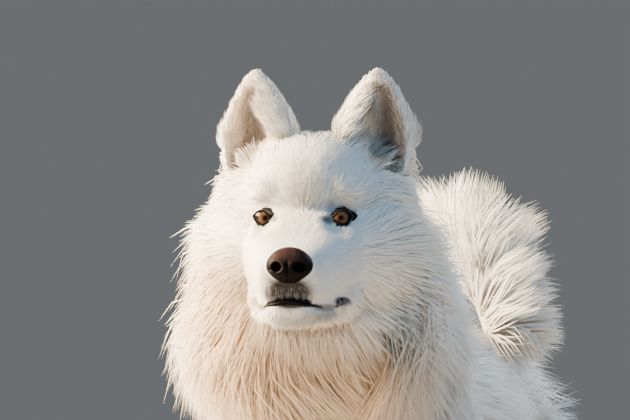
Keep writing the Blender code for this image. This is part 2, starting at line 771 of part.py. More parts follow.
def body_coat(place):
    """The node that a place on the body belongs to, and its coat if that is long."""
    side = "left" if place.x > 0 else "right"
    if in_leg(place, "hind", 0.0):
        long_hair = place.y > 0.215 + 0.4 * (0.30 - place.z) and 0.215 < place.z < 0.43
        return (f"leg_hind_{side}", BREECHES) if long_hair else None
    if in_leg(place, "front", 0.0):
        long_hair = place.y > -0.150 and 0.16 < place.z < 0.36
        return (f"leg_front_{side}", FEATHER) if long_hair else None
    if (place - HEAD_CUT).dot(HEAD_CUT_NORMAL) > -0.010:
        return None
    beyond = (place - NECK_CUT).dot(NECK_CUT_NORMAL)
    if abs(beyond) < 0.004:
        return None
    if beyond > 0:
        return "neck", RUFF
    return "torso", (RUFF if place.y < -0.20 else FLANK)


def head_coat(place):
    """The cheeks and the sides of the head have long hair, behind the eyes and below the ears."""
    spot = HEAD.inverted() @ place
    behind = (place - HEAD_CUT).dot(HEAD_CUT_NORMAL)
    side = abs(spot.x) > 0.050 and spot.y > 0.034 and spot.z < 0.040
    throat = spot.y > 0.005 and spot.z < -0.070
    return ("head", CHEEKS) if behind > 0.006 and (side or throat) else None


def scatter(obj, coat_at, lie, surface, chance):
    """Locks by node, rooted all over an object at least their coat's spacing apart."""
    mesh = obj.data
    triangles = [[mesh.vertices[k].co.copy() for k in polygon.vertices] for polygon in mesh.polygons]
    areas = [((b - a).cross(c - a)).length for a, b, c in triangles]
    locks, taken = {}, []
    for a, b, c in chance.choices(triangles, areas, k=LOCK_TRIES):
        u, v = sorted((chance.random(), chance.random()))
        root = a * u + b * (v - u) + c * (1 - v)
        found = coat_at(root)
        if not found:
            continue
        name, coat = found
        if any((root - other).length < coat.spacing for other in taken):
            continue
        lock = lay_lock(surface, root, lie, coat, chance)
        if lock:
            taken.append(root)
            locks.setdefault(name, []).append(lock)
    return locks


def is_smooth(lock):
    """Whether a lock bends gently along its whole length and its sides stay apart."""
    steps = [b - a for a, b in zip(lock.path, lock.path[1:])]
    if any(a.angle(b) > LOCK_BEND for a, b in zip(steps, steps[1:])):
        return False
    bm = lock_mesh(lock, CLEAR)
    crossing = crosses_itself(bm)
    bm.free()
    return not crossing


def lay_lock(surface, root, lie, coat, chance):
    """A lock that starts under the surface, follows the lie of the coat and rises to the coat's depth."""
    size = chance.uniform(0.88, 1.14)
    bend = chance.uniform(-0.22, 0.22)
    place, normal, _, _ = surface.find_nearest(root)
    path, ups = [place - normal * LOCK_SINK], [normal]
    heights = [height for _, _, height in LOCK_RINGS[1:]] + [LOCK_TIP_HEIGHT]
    shares = [share for share, _, _ in LOCK_RINGS] + [1.0]
    for before, share, height in zip(shares, shares[1:], heights):
        heading = lie(place)
        heading = (heading - normal * heading.dot(normal)).normalized()
        heading.rotate(Matrix.Rotation(bend * (0.5 + share), 3, normal))
        if coat.loose:
            heading = (heading + normal * (0.75 - share)).normalized()
            path.append(path[-1] + heading * (share - before) * coat.length * size)
        else:
            place, normal, _, _ = surface.find_nearest(place + heading * (share - before) * coat.length * size)
            path.append(place + normal * coat.rise * height)
        ups.append(normal)
    lock = Lock(path, ups, coat.width * chance.uniform(0.9, 1.1))
    return lock if is_smooth(lock) else None


def plume_lock(share, turn, chance):
    """A lock that leaves the tail outwards, then bends towards the tail's tip and droops."""
    centre = along_line(TAIL_LINE, share)
    ahead = along_line(TAIL_LINE, min(1, share + 0.02)) - along_line(TAIL_LINE, share - 0.02)
    ahead.normalize()
    side = Vector((1, 0, 0))
    side = (side - ahead * side.dot(ahead)).normalized()
    out = side * math.cos(turn) + side.cross(ahead) * math.sin(turn)
    reach = PLUME.length * chance.uniform(0.85, 1.15) * (0.55 + 0.45 * math.sin(math.pi * min(1, share + 0.2)))
    path = [centre + out * (tail_radius(share) - LOCK_SINK)]
    rise = 0.55 + 0.35 * smooth_step(0.1, 0.5, share)
    for part, spread, fall in ((0.34, 1.0, 0.0), (0.36, 0.75, 0.15), (0.30, 0.40, 0.40)):
        heading = (out * spread * rise + ahead * 0.75 - Vector((0, 0, fall))).normalized()
        path.append(path[-1] + heading * part * reach)
    return Lock(path, [out - ahead * 0.5] * 4, PLUME.width * chance.uniform(0.85, 1.15))


def plume(count, start, end, chance):
    """Locks that fan out of a length of tail."""
    locks = []
    for k in range(count):
        lock = None
        while not lock or not is_smooth(lock):
            share = start + (end - start) * (k + chance.uniform(0.2, 0.8)) / count
            lock = plume_lock(share, GOLDEN_ANGLE * k + chance.uniform(-0.4, 0.4), chance)
        locks.append(lock)
    return locks


def surface_of(obj):
    bm = bmesh.new()
    bm.from_mesh(obj.data)
    tree = BVHTree.FromBMesh(bm)
    bm.free()
    return tree


def simplify(obj, others):
    """Merges nearly flat neighbours among a union's triangles, while the mesh stays sound and clear of others."""
    before = obj.data.copy()
    for angle in FLAT_ENOUGH:
        bm = bmesh.new()
        bm.from_mesh(before)
        bmesh.ops.dissolve_limit(bm, angle_limit=angle, verts=bm.verts[:], edges=bm.edges[:])
        bmesh.ops.triangulate(bm, faces=bm.faces[:])
        bm.to_mesh(obj.data)
        bm.free()
        keep_largest(obj)
        if is_clear(obj, others):
            return
    obj.data = before


def is_clear(obj, others):
    """Whether a node's mesh is sound and its surface meets no other node's."""
    if not is_sound(obj.data):
        return False
    own = surface_of(obj)
    return not any(own.overlap(surface_of(other)) for other in others)


def near(a, b, margin=0.002):
    """Whether the bounding boxes of two objects meet."""
    for axis in range(3):
        if min(v.co[axis] for v in a.data.vertices) > max(v.co[axis] for v in b.data.vertices) + margin:
            return False
        if min(v.co[axis] for v in b.data.vertices) > max(v.co[axis] for v in a.data.vertices) + margin:
            return False
    return True


def wear(node, own, bare, worn, grow, gap):
    """Joins locks to a node, clear of the other nodes' cores and locks."""
    fur = new_object("fur", lock_mesh(own[0], grow))
    combine(fur, [new_object("lock", lock_mesh(lock, grow)) for lock in own[1:]], "UNION")
    others = [obj for obj in bare if near(obj, fur)]
    if others:
        combine(fur, [copy_of(obj, "other") for obj in others], "DIFFERENCE")
    combine(node, [fur], "UNION")
    cutters = []
    for lock in worn:
        cutter = new_object("grown", lock_mesh(lock, gap))
        if near(cutter, node):
            cutters.append(cutter)
        else:
            bpy.data.objects.remove(cutter)
    if cutters:
        combine(node, cutters, "DIFFERENCE")
    keep_largest(node)


def dress(nodes, locks):
    """Joins each node's locks to it. Where that leaves a flaw, it is done again with slightly thicker locks."""
    bare = {name: swollen(obj, CLEAR) for name, obj in nodes.items()}
    worn = []
    for name, own in locks.items():
        node = nodes[name]
        before = node.data.copy()
        for grow, gap in LOCK_GROWTHS:
            node.data = before.copy()
            wear(node, own, [obj for other, obj in bare.items() if other != name], worn, grow, gap)
            if is_clear(node, [obj for obj in nodes.values() if obj is not node and near(obj, node)]):
                break
        worn += own
    for obj in bare.values():
        bpy.data.objects.remove(obj)
    for name in locks:
        node = nodes[name]
        simplify(node, [obj for obj in nodes.values() if obj is not node and near(obj, node)])


def finish(obj):
    """Gives a node its own plain material and smooth shading."""
    colour, roughness = FINISHES.get(obj.name.split("_")[0], COAT)
    material = bpy.data.materials.new(obj.name)
    material.use_nodes = True
    shader = material.node_tree.nodes["Principled BSDF"]
    shader.inputs["Base Color"].default_value = (*colour, 1)
    shader.inputs["Roughness"].default_value = roughness
    obj.data.materials.clear()
    obj.data.materials.append(material)
    obj.data.shade_smooth()
    obj.data.set_sharp_from_angle(angle=SHARP_EDGE)


def centre_on_floor(objects):
    """Moves the whole dog level until the middle of its bounding box is over the origin."""
    points = [vert.co for obj in objects for vert in obj.data.vertices]
    middle = Vector([(min(p[i] for p in points) + max(p[i] for p in points)) / 2 for i in range(3)])
    for obj in objects:
        obj.data.transform(Matrix.Translation((-middle.x, -middle.y, 0)))


def main():
    for obj in list(bpy.data.objects):
        bpy.data.objects.remove(obj)
    chance = random.Random(SEED)
    head = make_head()
    body = make_body()
    whole = combine(copy_of(body, "whole"), [copy_of(head, "face")], "UNION")
    skin = BVHTree.FromObject(whole, bpy.context.evaluated_depsgraph_get())
    bpy.data.objects.remove(whole)
    locks = scatter(head, head_coat, head_lie, skin, chance)
    locks.update(scatter(body, body_coat, body_lie, skin, chance))
    nodes = {"head": head, **make_torso_and_legs(body)}
    half(nodes["neck"], HEAD_CUT - HEAD_CUT_NORMAL * BLADE / 2, -HEAD_CUT_NORMAL)
    half(head, HEAD_CUT + HEAD_CUT_NORMAL * BLADE / 2, HEAD_CUT_NORMAL)
    nodes["nose"] = make_nose(head)
    for side, mirrored in SIDES.items():
        nodes[f"ear_{side}"] = make_ear(f"ear_{side}", mirrored, head)
        make_eye(f"eye_{side}", mirrored)
        for pair, place in (("front", FRONT_FOOT), ("hind", HIND_FOOT)):
            name = f"foot_{pair}_{side}"
            foot = make_foot(name, place, mirrored)
            make_claws(name, foot, place, mirrored)
    edges = [0, *TAIL_CUTS, 1]
    gap = BLADE / 2 / tail_length()
    for name, start, end in zip(("tail_root", "tail_arch", "tail_tip"), edges, edges[1:]):
        tail = make_tail_length(name, start + gap, end - gap)
        if name == "tail_root":
            combine(tail, [swollen(nodes["torso"], CLEAR)], "DIFFERENCE")
            keep_largest(tail)
        nodes[name] = tail
        locks[name] = plume(PLUME_LOCKS[name], max(start, 0.10), end, chance)
    order = ["head", "neck", "torso"]
    order += [name for name in sorted(locks) if name not in order]
    dress(nodes, {name: locks[name] for name in order})
    meshes = [obj for obj in bpy.data.objects if obj.type == "MESH"]
    centre_on_floor(meshes)
    for obj in meshes:
        finish(obj)


main()
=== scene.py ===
"""The look of a standing samoyed: one skin, eyes, nose, lips, claws, and a coat of solid tufts."""

import math
from collections import namedtuple

import bmesh
import bpy
import numpy as np
from mathutils import Matrix, Vector
from mathutils.bvhtree import BVHTree
from mathutils.kdtree import KDTree


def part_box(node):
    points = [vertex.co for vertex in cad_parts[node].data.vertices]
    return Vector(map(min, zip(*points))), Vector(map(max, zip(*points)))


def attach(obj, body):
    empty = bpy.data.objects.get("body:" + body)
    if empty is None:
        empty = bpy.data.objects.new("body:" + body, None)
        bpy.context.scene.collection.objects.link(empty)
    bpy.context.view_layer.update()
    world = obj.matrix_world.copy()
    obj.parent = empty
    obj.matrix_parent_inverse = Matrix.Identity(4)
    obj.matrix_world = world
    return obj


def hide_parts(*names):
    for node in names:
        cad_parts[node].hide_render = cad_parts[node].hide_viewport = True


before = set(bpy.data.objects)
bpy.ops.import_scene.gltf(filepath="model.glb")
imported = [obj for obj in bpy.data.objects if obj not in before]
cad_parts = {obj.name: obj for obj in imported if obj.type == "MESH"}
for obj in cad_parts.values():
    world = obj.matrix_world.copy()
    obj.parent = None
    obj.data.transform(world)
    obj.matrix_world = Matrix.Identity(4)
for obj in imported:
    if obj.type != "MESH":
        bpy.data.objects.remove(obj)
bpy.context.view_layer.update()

# The dog's own frame: its head's origin is midway between the eyes
HEAD_PLACE = Vector((0.0, -0.440, 0.670))
HEAD_TURN = math.radians(2.5)
HEAD = Matrix.Translation(HEAD_PLACE) @ Matrix.Rotation(HEAD_TURN, 4, "Z")
EYE = Vector((0.0335, 0.0080, 0.0))
EYE_RADIUS = 0.0112
EYE_OUTWARD = math.radians(17)
EYE_SLANT = math.radians(7)
SIDES = {"left": 1, "right": -1}


def middle_of(*nodes):
    corners = [Vector(corner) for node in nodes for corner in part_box(node)]
    return sum(corners, Vector()) / len(corners)


EYES_MIDDLE = middle_of("eye_left", "eye_right")
SHIFT = EYES_MIDDLE - HEAD @ Vector((0, EYE.y, 0))  # from the dog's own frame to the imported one
SHIFT_ROW = np.array(SHIFT)

Ring = namedtuple("Ring", "x y z side up down")
Ball = namedtuple("Ball", "x y z rx ry rz")

# Flesh under the coat
TORSO = (
    Ring(0, -0.310, 0.440, 0.040, 0.045, 0.060),
    Ring(0, -0.280, 0.445, 0.072, 0.080, 0.090),
    Ring(0, -0.220, 0.448, 0.092, 0.100, 0.125),
    Ring(0, -0.120, 0.448, 0.100, 0.104, 0.142),
    Ring(0, -0.020, 0.452, 0.100, 0.094, 0.135),
    Ring(0, 0.080, 0.458, 0.092, 0.084, 0.108),
    Ring(0, 0.160, 0.460, 0.088, 0.080, 0.092),
    Ring(0, 0.230, 0.456, 0.086, 0.076, 0.090),
    Ring(0, 0.280, 0.450, 0.064, 0.056, 0.080),
    Ring(0, 0.305, 0.445, 0.030, 0.028, 0.045),
)
NECK = (
    Ring(-0.004, -0.395, 0.662, 0.056, 0.048, 0.052),
    Ring(-0.008, -0.360, 0.634, 0.068, 0.062, 0.068),
    Ring(-0.010, -0.318, 0.597, 0.070, 0.068, 0.078),
    Ring(-0.008, -0.268, 0.552, 0.075, 0.075, 0.088),
    Ring(-0.004, -0.212, 0.503, 0.082, 0.082, 0.095),
    Ring(0, -0.160, 0.465, 0.080, 0.080, 0.090),
)
FRONT_LEG = (
    Ring(0.062, -0.180, 0.440, 0.036, 0.050, 0.050),
    Ring(0.070, -0.168, 0.370, 0.036, 0.050, 0.046),
    Ring(0.077, -0.158, 0.310, 0.030, 0.042, 0.036),
    Ring(0.080, -0.162, 0.240, 0.025, 0.030, 0.028),
    Ring(0.082, -0.167, 0.170, 0.022, 0.025, 0.025),
    Ring(0.083, -0.172, 0.110, 0.023, 0.024, 0.025),
    Ring(0.084, -0.182, 0.060, 0.022, 0.024, 0.025),
    Ring(0.084, -0.192, 0.030, 0.023, 0.024, 0.024),
)
HIND_LEG = (
    Ring(0.058, 0.205, 0.470, 0.042, 0.056, 0.060),
    Ring(0.072, 0.198, 0.400, 0.048, 0.078, 0.075),
    Ring(0.083, 0.200, 0.330, 0.042, 0.066, 0.062),
    Ring(0.088, 0.224, 0.265, 0.032, 0.046, 0.046),
    Ring(0.091, 0.268, 0.205, 0.022, 0.032, 0.032),
    Ring(0.092, 0.300, 0.160, 0.018, 0.026, 0.026),
    Ring(0.093, 0.300, 0.110, 0.018, 0.022, 0.022),
    Ring(0.094, 0.288, 0.060, 0.020, 0.023, 0.023),
    Ring(0.094, 0.278, 0.030, 0.021, 0.023, 0.023),
)
BODY_SQUARENESS = 2.3

CRANIUM = Ball(0, 0.066, 0.016, 0.056, 0.064, 0.050)
TEMPLE = Ball(0.042, 0.084, 0.018, 0.032, 0.036, 0.036)
BROW = Ball(0.024, 0.018, 0.022, 0.020, 0.011, 0.009)
CHEEK = Ball(0.036, 0.052, -0.030, 0.036, 0.044, 0.042)
THROAT = Ball(0, 0.036, -0.052, 0.040, 0.050, 0.034)
MUZZLE = (
    Ring(0, -0.0800, -0.0580, 0.0160, 0.0135, 0.0125),
    Ring(0, -0.0765, -0.0575, 0.0240, 0.0210, 0.0195),
    Ring(0, -0.0680, -0.0555, 0.0295, 0.0245, 0.0240),
    Ring(0, -0.0500, -0.0520, 0.0350, 0.0265, 0.0270),
    Ring(0, -0.0300, -0.0460, 0.0415, 0.0280, 0.0310),
    Ring(0, -0.0080, -0.0370, 0.0470, 0.0320, 0.0385),
    Ring(0, 0.0200, -0.0280, 0.0500, 0.0380, 0.0450),
)
JAW = (
    Ring(0, -0.0750, -0.0790, 0.0135, 0.0080, 0.0075),
    Ring(0, -0.0705, -0.0790, 0.0210, 0.0100, 0.0115),
    Ring(0, -0.0540, -0.0775, 0.0275, 0.0120, 0.0135),
    Ring(0, -0.0340, -0.0735, 0.0345, 0.0145, 0.0155),
    Ring(0, -0.0080, -0.0680, 0.0415, 0.0180, 0.0195),
    Ring(0, 0.0200, -0.0620, 0.0440, 0.0240, 0.0240),
)
MUZZLE_SQUARENESS = 2.5

EAR_BASE = Vector((0.0510, 0.0860, 0.0400))
EAR_TIP = Vector((0.0555, 0.0900, 0.1345))
EAR_OUTWARD = math.radians(20)
EAR_WALL = 0.0040
EAR_CUP = (0.76, 0.92)
# Share of the ear's length, half-width, half-depth
EAR_RINGS = (
    (0.00, 0.0330, 0.0245),
    (0.22, 0.0370, 0.0235),
    (0.42, 0.0365, 0.0195),
    (0.60, 0.0280, 0.0145),
    (0.78, 0.0190, 0.0100),
    (0.91, 0.0110, 0.0065),
    (1.00, 0.0040, 0.0035),
)
TAIL_LINE = (
    Vector((0.000, 0.250, 0.490)),
    Vector((0.000, 0.296, 0.545)),
    Vector((0.006, 0.306, 0.597)),
    Vector((0.018, 0.272, 0.632)),
    Vector((0.038, 0.210, 0.645)),
    Vector((0.062, 0.148, 0.637)),
    Vector((0.086, 0.096, 0.608)),
    Vector((0.102, 0.066, 0.570)),
)
TAIL_RADIUS = (0.026, 0.013)
TAIL_RINGS = 29

FRONT_FOOT = Vector((0.084, -0.205, 0))
HIND_FOOT = Vector((0.094, 0.262, 0))
PAW = Ball(0, 0, 0.019, 0.027, 0.033, 0.0190)
ANKLE = Ball(0, 0.018, 0.042, 0.026, 0.028, 0.0400)
TOES = ((-0.0235, -0.027), (-0.0085, -0.041), (0.0085, -0.041), (0.0235, -0.027))
TOE = (0.0105, 0.0205, 0.0140)
CLAW_LENGTH = 0.011
CLAW_RADIUS = 0.0024
# Share of the claw's length, and of its radius
CLAW_TAPER = ((-0.5, 0.9), (-0.2, 1.0), (0.1, 0.98), (0.35, 0.86), (0.6, 0.66), (0.82, 0.38))

SKIN_VOXEL = 0.0028
SKIN_REST = 0.30  # share of the skin's triangles that are kept away from the head
SKIN_FINE = (0.11, 0.52)  # how far behind the eyes, and from what height up, all of them are kept
SOLE = 0.0012  # height of the skin under the feet

NOSE = Ball(0.0008, -0.0780, -0.0438, 0.0203, 0.0135, 0.0158)
MOUTH_CENTRE = Vector((0, -0.034, -0.0725))
MOUTH_REACH = math.radians(127)
MOUTH_DIP = 0.0065
MOUTH_RISE = 0.0015
MOUTH_POINTS = 61
EYE_OPENING = (0.0110, 0.0084)  # half of what the lids' rims take up of the skin
EYE_OPENING_DROP = 0.0010  # how far below the eye's middle the middle of that is
EYE_SHOWN = (0.0082, 0.0062)  # half of what shows of the eyeball
LID_OVAL = (0.0071, 0.0056)  # half of what the lids leave open
LID_POINTS = 56
GAZE = Vector((0.105, -1.0, -0.075))  # both eyes look a little to the dog's left and down
MUZZLE_END = np.array((0, -0.085, -0.045))


# Basic shapes

def smooth_step(low, high, value):
    share = np.clip((value - low) / (high - low), 0.0, 1.0)
    return share * share * (3 - 2 * share)


def grow(bm, rings, closed=True):
    """Extrudes a face through rings of points. A last ring of one point makes a tip."""
    cap = bm.faces.new([bm.verts.new(point) for point in rings[0]])
    first = cap
    for ring in rings[1:]:
        grown = bmesh.ops.extrude_face_region(bm, geom=[cap])
        if cap is not first or not closed:
            bmesh.ops.delete(bm, geom=[cap], context="FACES_ONLY")
        cap = next(item for item in grown["geom"] if isinstance(item, bmesh.types.BMFace))
        if len(ring) == 1:
            bmesh.ops.pointmerge(bm, verts=list(cap.verts), merge_co=ring[0])
            return
        for vert, point in zip(cap.verts, ring):
            vert.co = point
    if not closed:
        bmesh.ops.delete(bm, geom=[cap], context="FACES_ONLY")


def rounded(angle, power):
    c, s = math.cos(angle), math.sin(angle)
    return math.copysign(abs(c) ** (2 / power), c), math.copysign(abs(s) ** (2 / power), s)


def square_to(ahead):
    """Two directions square to the way ahead: to the side, and up."""
    side = Vector((1, 0, 0))
    side = (side - ahead * side.dot(ahead)).normalized()
    return side, side.cross(ahead)


def circle(centre, across, up, radius, count):
    turns = (2 * math.pi * k / count for k in range(count))
    return [centre + (across * math.cos(turn) + up * math.sin(turn)) * radius for turn in turns]


def loft(bm, stations, power, mirrored=1, matrix=None, count=24):
    """A closed body through superellipse rings."""
    matrix = matrix or Matrix()
    centres = [Vector((r.x * mirrored, r.y, r.z)) for r in stations]
    rings = []
    for index, station in enumerate(stations):
        before, after = centres[max(index - 1, 0)], centres[min(index + 1, len(centres) - 1)]
        side, up = square_to((after - before).normalized())
        ring = []
        for k in range(count):
            across, high = rounded(2 * math.pi * k / count, power)
            depth = station.up if high > 0 else station.down
            ring.append(matrix @ (centres[index] + side * across * station.side + up * high * depth))
        rings.append(ring)
    grow(bm, rings)


def ball(bm, shape, mirrored=1, matrix=None, fineness=4):
    place = Matrix.Translation((shape.x * mirrored, shape.y, shape.z))
    size = Matrix.Diagonal((shape.rx, shape.ry, shape.rz, 1))
    bmesh.ops.create_icosphere(
        bm, subdivisions=fineness, radius=1, matrix=(matrix or Matrix()) @ place @ size
    )


def link(name, data):
    """A new object in the scene."""
    made = bpy.data.objects.new(name, data)
    bpy.context.scene.collection.objects.link(made)
    return made


def new_piece(name, bm):
    """The bmesh as a smooth object, moved from the dog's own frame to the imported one."""
    bm.transform(Matrix.Translation(SHIFT))
    bmesh.ops.recalc_face_normals(bm, faces=bm.faces[:])
    mesh = bpy.data.meshes.new(name)
    bm.to_mesh(mesh)
    bm.free()
    mesh.shade_smooth()
    return link(name, mesh)


def apply_modifiers(piece):
    graph = bpy.context.evaluated_depsgraph_get()
    graph.update()
    mesh = bpy.data.meshes.new_from_object(piece.evaluated_get(graph))
    piece.modifiers.clear()
    old = piece.data
    piece.data = mesh
    bpy.data.meshes.remove(old)
    mesh.name = piece.name


def along_line(points, share):
    """A point on the smooth curve through the points."""
    reach = share * (len(points) - 1)
    index = min(int(reach), len(points) - 2)
    t = reach - index
    a, b, c, d = (points[min(max(index + k, 0), len(points) - 1)] for k in (-1, 0, 1, 2))
    bend, twist = 2 * a - 5 * b + 4 * c - d, 3 * b - a - 3 * c + d
    return 0.5 * (2 * b + (c - a) * t + bend * t ** 2 + twist * t ** 3)


def eye_frame(mirrored):
    return (
        Matrix.Translation((EYE.x * mirrored, EYE.y, EYE.z))
        @ Matrix.Rotation(EYE_OUTWARD * mirrored, 4, "Z")
        @ Matrix.Rotation(-EYE_SLANT * mirrored, 4, "Y")
    )
def both_ways(matrix):
    """A matrix's inverse and itself, as arrays."""
    return np.array(matrix.inverted()), np.array(matrix)


def placed(places, matrix):
    return places @ matrix[:3, :3].T + matrix[:3, 3]


def read_rows(mesh, what):
    """A value of each corner of the mesh, in rows of three."""
    values = np.empty(len(mesh.vertices) * 3)
    mesh.vertices.foreach_get(what, values)
    return values.reshape(-1, 3)


def write_places(mesh, places):
    mesh.vertices.foreach_set("co", (places + SHIFT_ROW).ravel())
    mesh.update()


def from_eye(spot):
    """How far places lie from the middle of an eye's opening, across the lids' plane: 1 at its rim."""
    return np.hypot(spot[:, 0] / EYE_OPENING[0], (spot[:, 2] + EYE_OPENING_DROP) / EYE_OPENING[1])
# The skin

def ear_ring(place, outward, half_width, half_depth, back, count=24):
    ring = []
    for k in range(count):
        turn = 2 * math.pi * k / count
        across, deep = half_width * math.cos(turn), back + half_depth * math.sin(turn)
        ring.append(place + outward @ Vector((across, deep, 0)))
    return ring


def make_ear(bm, mirrored):
    """A pricked ear, a leaf bent round a cup that opens to the front."""
    outward = Matrix.Rotation(EAR_OUTWARD * mirrored, 3, "Z")
    flip = Vector((mirrored, 1, 1))
    outer, inner = [], []
    for share, half_width, half_depth in EAR_RINGS:
        outer.append(ear_ring(EAR_BASE.lerp(EAR_TIP, share) * flip, outward, half_width, half_depth, 0))
    for share, half_width, half_depth in ((0.02, *EAR_RINGS[0][1:]), *EAR_RINGS[1:-1]):
        place = EAR_BASE.lerp(EAR_TIP, share * EAR_CUP[1]) * flip
        reach = 2 * half_depth
        inner.append(ear_ring(place, outward, half_width * EAR_CUP[0], reach, half_depth - EAR_WALL - reach))
    pieces = []
    for name, rings in (("ear", outer), ("cup", inner)):
        part = bmesh.new()
        grow(part, rings)
        part.transform(HEAD)
        bmesh.ops.triangulate(part, faces=part.faces[:])
        bmesh.ops.recalc_face_normals(part, faces=part.faces[:])
        mesh = bpy.data.meshes.new(name)
        part.to_mesh(mesh)
        part.free()
        pieces.append(link(name, mesh))
    ear, cup = pieces
    hollow = ear.modifiers.new("hollow", "BOOLEAN")
    hollow.operation = "DIFFERENCE"
    hollow.solver = "EXACT"
    hollow.object = cup
    apply_modifiers(ear)
    bm.from_mesh(ear.data)
    for piece in pieces:
        bpy.data.objects.remove(piece)


def make_skin():
    """One closed skin over the whole dog, finest on the head."""
    bm = bmesh.new()
    loft(bm, TORSO, BODY_SQUARENESS)
    loft(bm, NECK, BODY_SQUARENESS)
    loft(bm, MUZZLE, MUZZLE_SQUARENESS, matrix=HEAD)
    loft(bm, JAW, MUZZLE_SQUARENESS, matrix=HEAD)
    ball(bm, CRANIUM, matrix=HEAD)
    ball(bm, THROAT, matrix=HEAD)
    tail = []
    for k in range(TAIL_RINGS):
        share = k / (TAIL_RINGS - 1)
        before, after = (along_line(TAIL_LINE, min(max(share + step, 0), 1)) for step in (-0.01, 0.01))
        side, up = square_to((after - before).normalized())
        radius = TAIL_RADIUS[0] + (TAIL_RADIUS[1] - TAIL_RADIUS[0]) * share
        tail.append(circle(along_line(TAIL_LINE, share), side, up, radius, 16))
    grow(bm, tail)
    for mirrored in SIDES.values():
        loft(bm, FRONT_LEG, BODY_SQUARENESS, mirrored)
        loft(bm, HIND_LEG, BODY_SQUARENESS, mirrored)
        for shape in (CHEEK, TEMPLE, BROW):
            ball(bm, shape, mirrored, HEAD)
        make_ear(bm, mirrored)
        for foot in (FRONT_FOOT, HIND_FOOT):
            place = Matrix.Translation((foot.x * mirrored, foot.y, 0))
            ball(bm, PAW, 1, place)
            ball(bm, ANKLE, 1, place)
            for x, y in TOES:
                ball(bm, Ball(x, y, TOE[2] + 0.001, *TOE), 1, place)
    skin = new_piece("skin", bm)
    remesh = skin.modifiers.new("melt", "REMESH")
    remesh.mode = "VOXEL"
    remesh.voxel_size = SKIN_VOXEL
    soften = skin.modifiers.new("soften", "SMOOTH")
    soften.factor = 0.5
    soften.iterations = 5
    apply_modifiers(skin)
    rest = skin.vertex_groups.new(name="rest")
    behind = HEAD_PLACE.y + SHIFT.y + SKIN_FINE[0]
    coarse = [v.index for v in skin.data.vertices if v.co.y > behind or v.co.z < SKIN_FINE[1]]
    rest.add(coarse, 1.0, "REPLACE")
    thin = skin.modifiers.new("thin", "DECIMATE")
    thin.vertex_group = "rest"
    thin.ratio = SKIN_REST
    apply_modifiers(skin)
    skin.vertex_groups.clear()
    return skin


def carve_sockets(skin):
    """Presses the skin in round each eye, so that the muzzle doesn't hide its lower inner side."""
    moved = read_rows(skin.data, "co") - SHIFT_ROW
    for mirrored in SIDES.values():
        to_eye, back = both_ways(HEAD @ eye_frame(mirrored))
        spot = placed(moved, to_eye)
        gap = from_eye(spot)
        inner = smooth_step(0.0, -0.008, spot[:, 0] * mirrored)
        limit = -0.0098 + 0.0008 * inner - (0.0062 - 0.0020 * inner) * np.maximum(gap - 1, 0)
        near = (gap < 2.6) & (spot[:, 1] < limit)
        kept = 0.12 + 0.88 * smooth_step(1.4, 2.6, gap)
        spot[near, 1] = (limit + (spot[:, 1] - limit) * kept)[near]
        moved[near] = placed(spot, back)[near]
    write_places(skin.data, moved)


def open_skin(skin, mouth):
    """Sinks the skin behind the eyeballs, the nose and the line of the mouth, and flattens the soles."""
    moved = read_rows(skin.data, "co") - SHIFT_ROW
    for mirrored in SIDES.values():
        to_eye, back = both_ways(HEAD @ eye_frame(mirrored))
        spot = placed(moved, to_eye)
        wide, high = EYE_OPENING[0] * 1.09, EYE_OPENING[1] * np.where(spot[:, 2] > 0, 0.80, 1.09)
        gap = (spot[:, 0] / wide) ** 2 + ((spot[:, 2] + EYE_OPENING_DROP) / high) ** 2
        sink = (gap < 1) & (spot[:, 1] < 0.004) & (spot[:, 1] > -0.03)
        spot[sink, 1] = np.maximum(spot[sink, 1], 0.003 - 0.006 * gap[sink] ** 2)
        moved[sink] = placed(spot, back)[sink]
    to_nose, back = both_ways(HEAD)
    spot = placed(moved, to_nose)
    inside = np.linalg.norm((spot - np.array(NOSE[:3])) / (np.array(NOSE[3:]) * (0.90, 1.3, 0.88)), axis=1)
    spot[:, 1] += 0.010 * (1 - smooth_step(0.55, 1.0, inside)) * (spot[:, 1] < -0.06)
    moved = placed(spot, back)
    line = np.array([point for point, _ in mouth])
    outward = np.array([out for _, out in mouth])
    near = np.where(np.linalg.norm(moved - line.mean(0), axis=1) < 0.08)[0]
    far = np.linalg.norm(moved[near][:, None] - line[None], axis=2)
    depth = 0.0038 * (1 - smooth_step(0.0010, 0.0040, far.min(1)))
    moved[near] -= outward[far.argmin(1)] * depth[:, None]
    moved[:, 2] = np.maximum(moved[:, 2], SOLE)
    write_places(skin.data, moved)


def tree_of(piece):
    return BVHTree.FromObject(piece, bpy.context.evaluated_depsgraph_get())


def mouth_line(tree):
    """Points along the line of the mouth and the way out of the skin there, in the dog's own frame."""
    points = []
    for k in range(MOUTH_POINTS):
        turn = MOUTH_REACH * (2 * k / (MOUTH_POINTS - 1) - 1)
        share = abs(turn) / MOUTH_REACH
        height = MOUTH_CENTRE.z - MOUTH_DIP * math.sin(math.pi * share) + MOUTH_RISE * share * share
        start = HEAD @ Vector((0, MOUTH_CENTRE.y, height)) + SHIFT
        outward = HEAD.to_3x3() @ Vector((math.sin(turn), -math.cos(turn), 0))
        hit, _, _, _ = tree.ray_cast(start, outward)
        points.append((hit - SHIFT, outward))
    return points


# Eyes, lids, nose, lips and claws

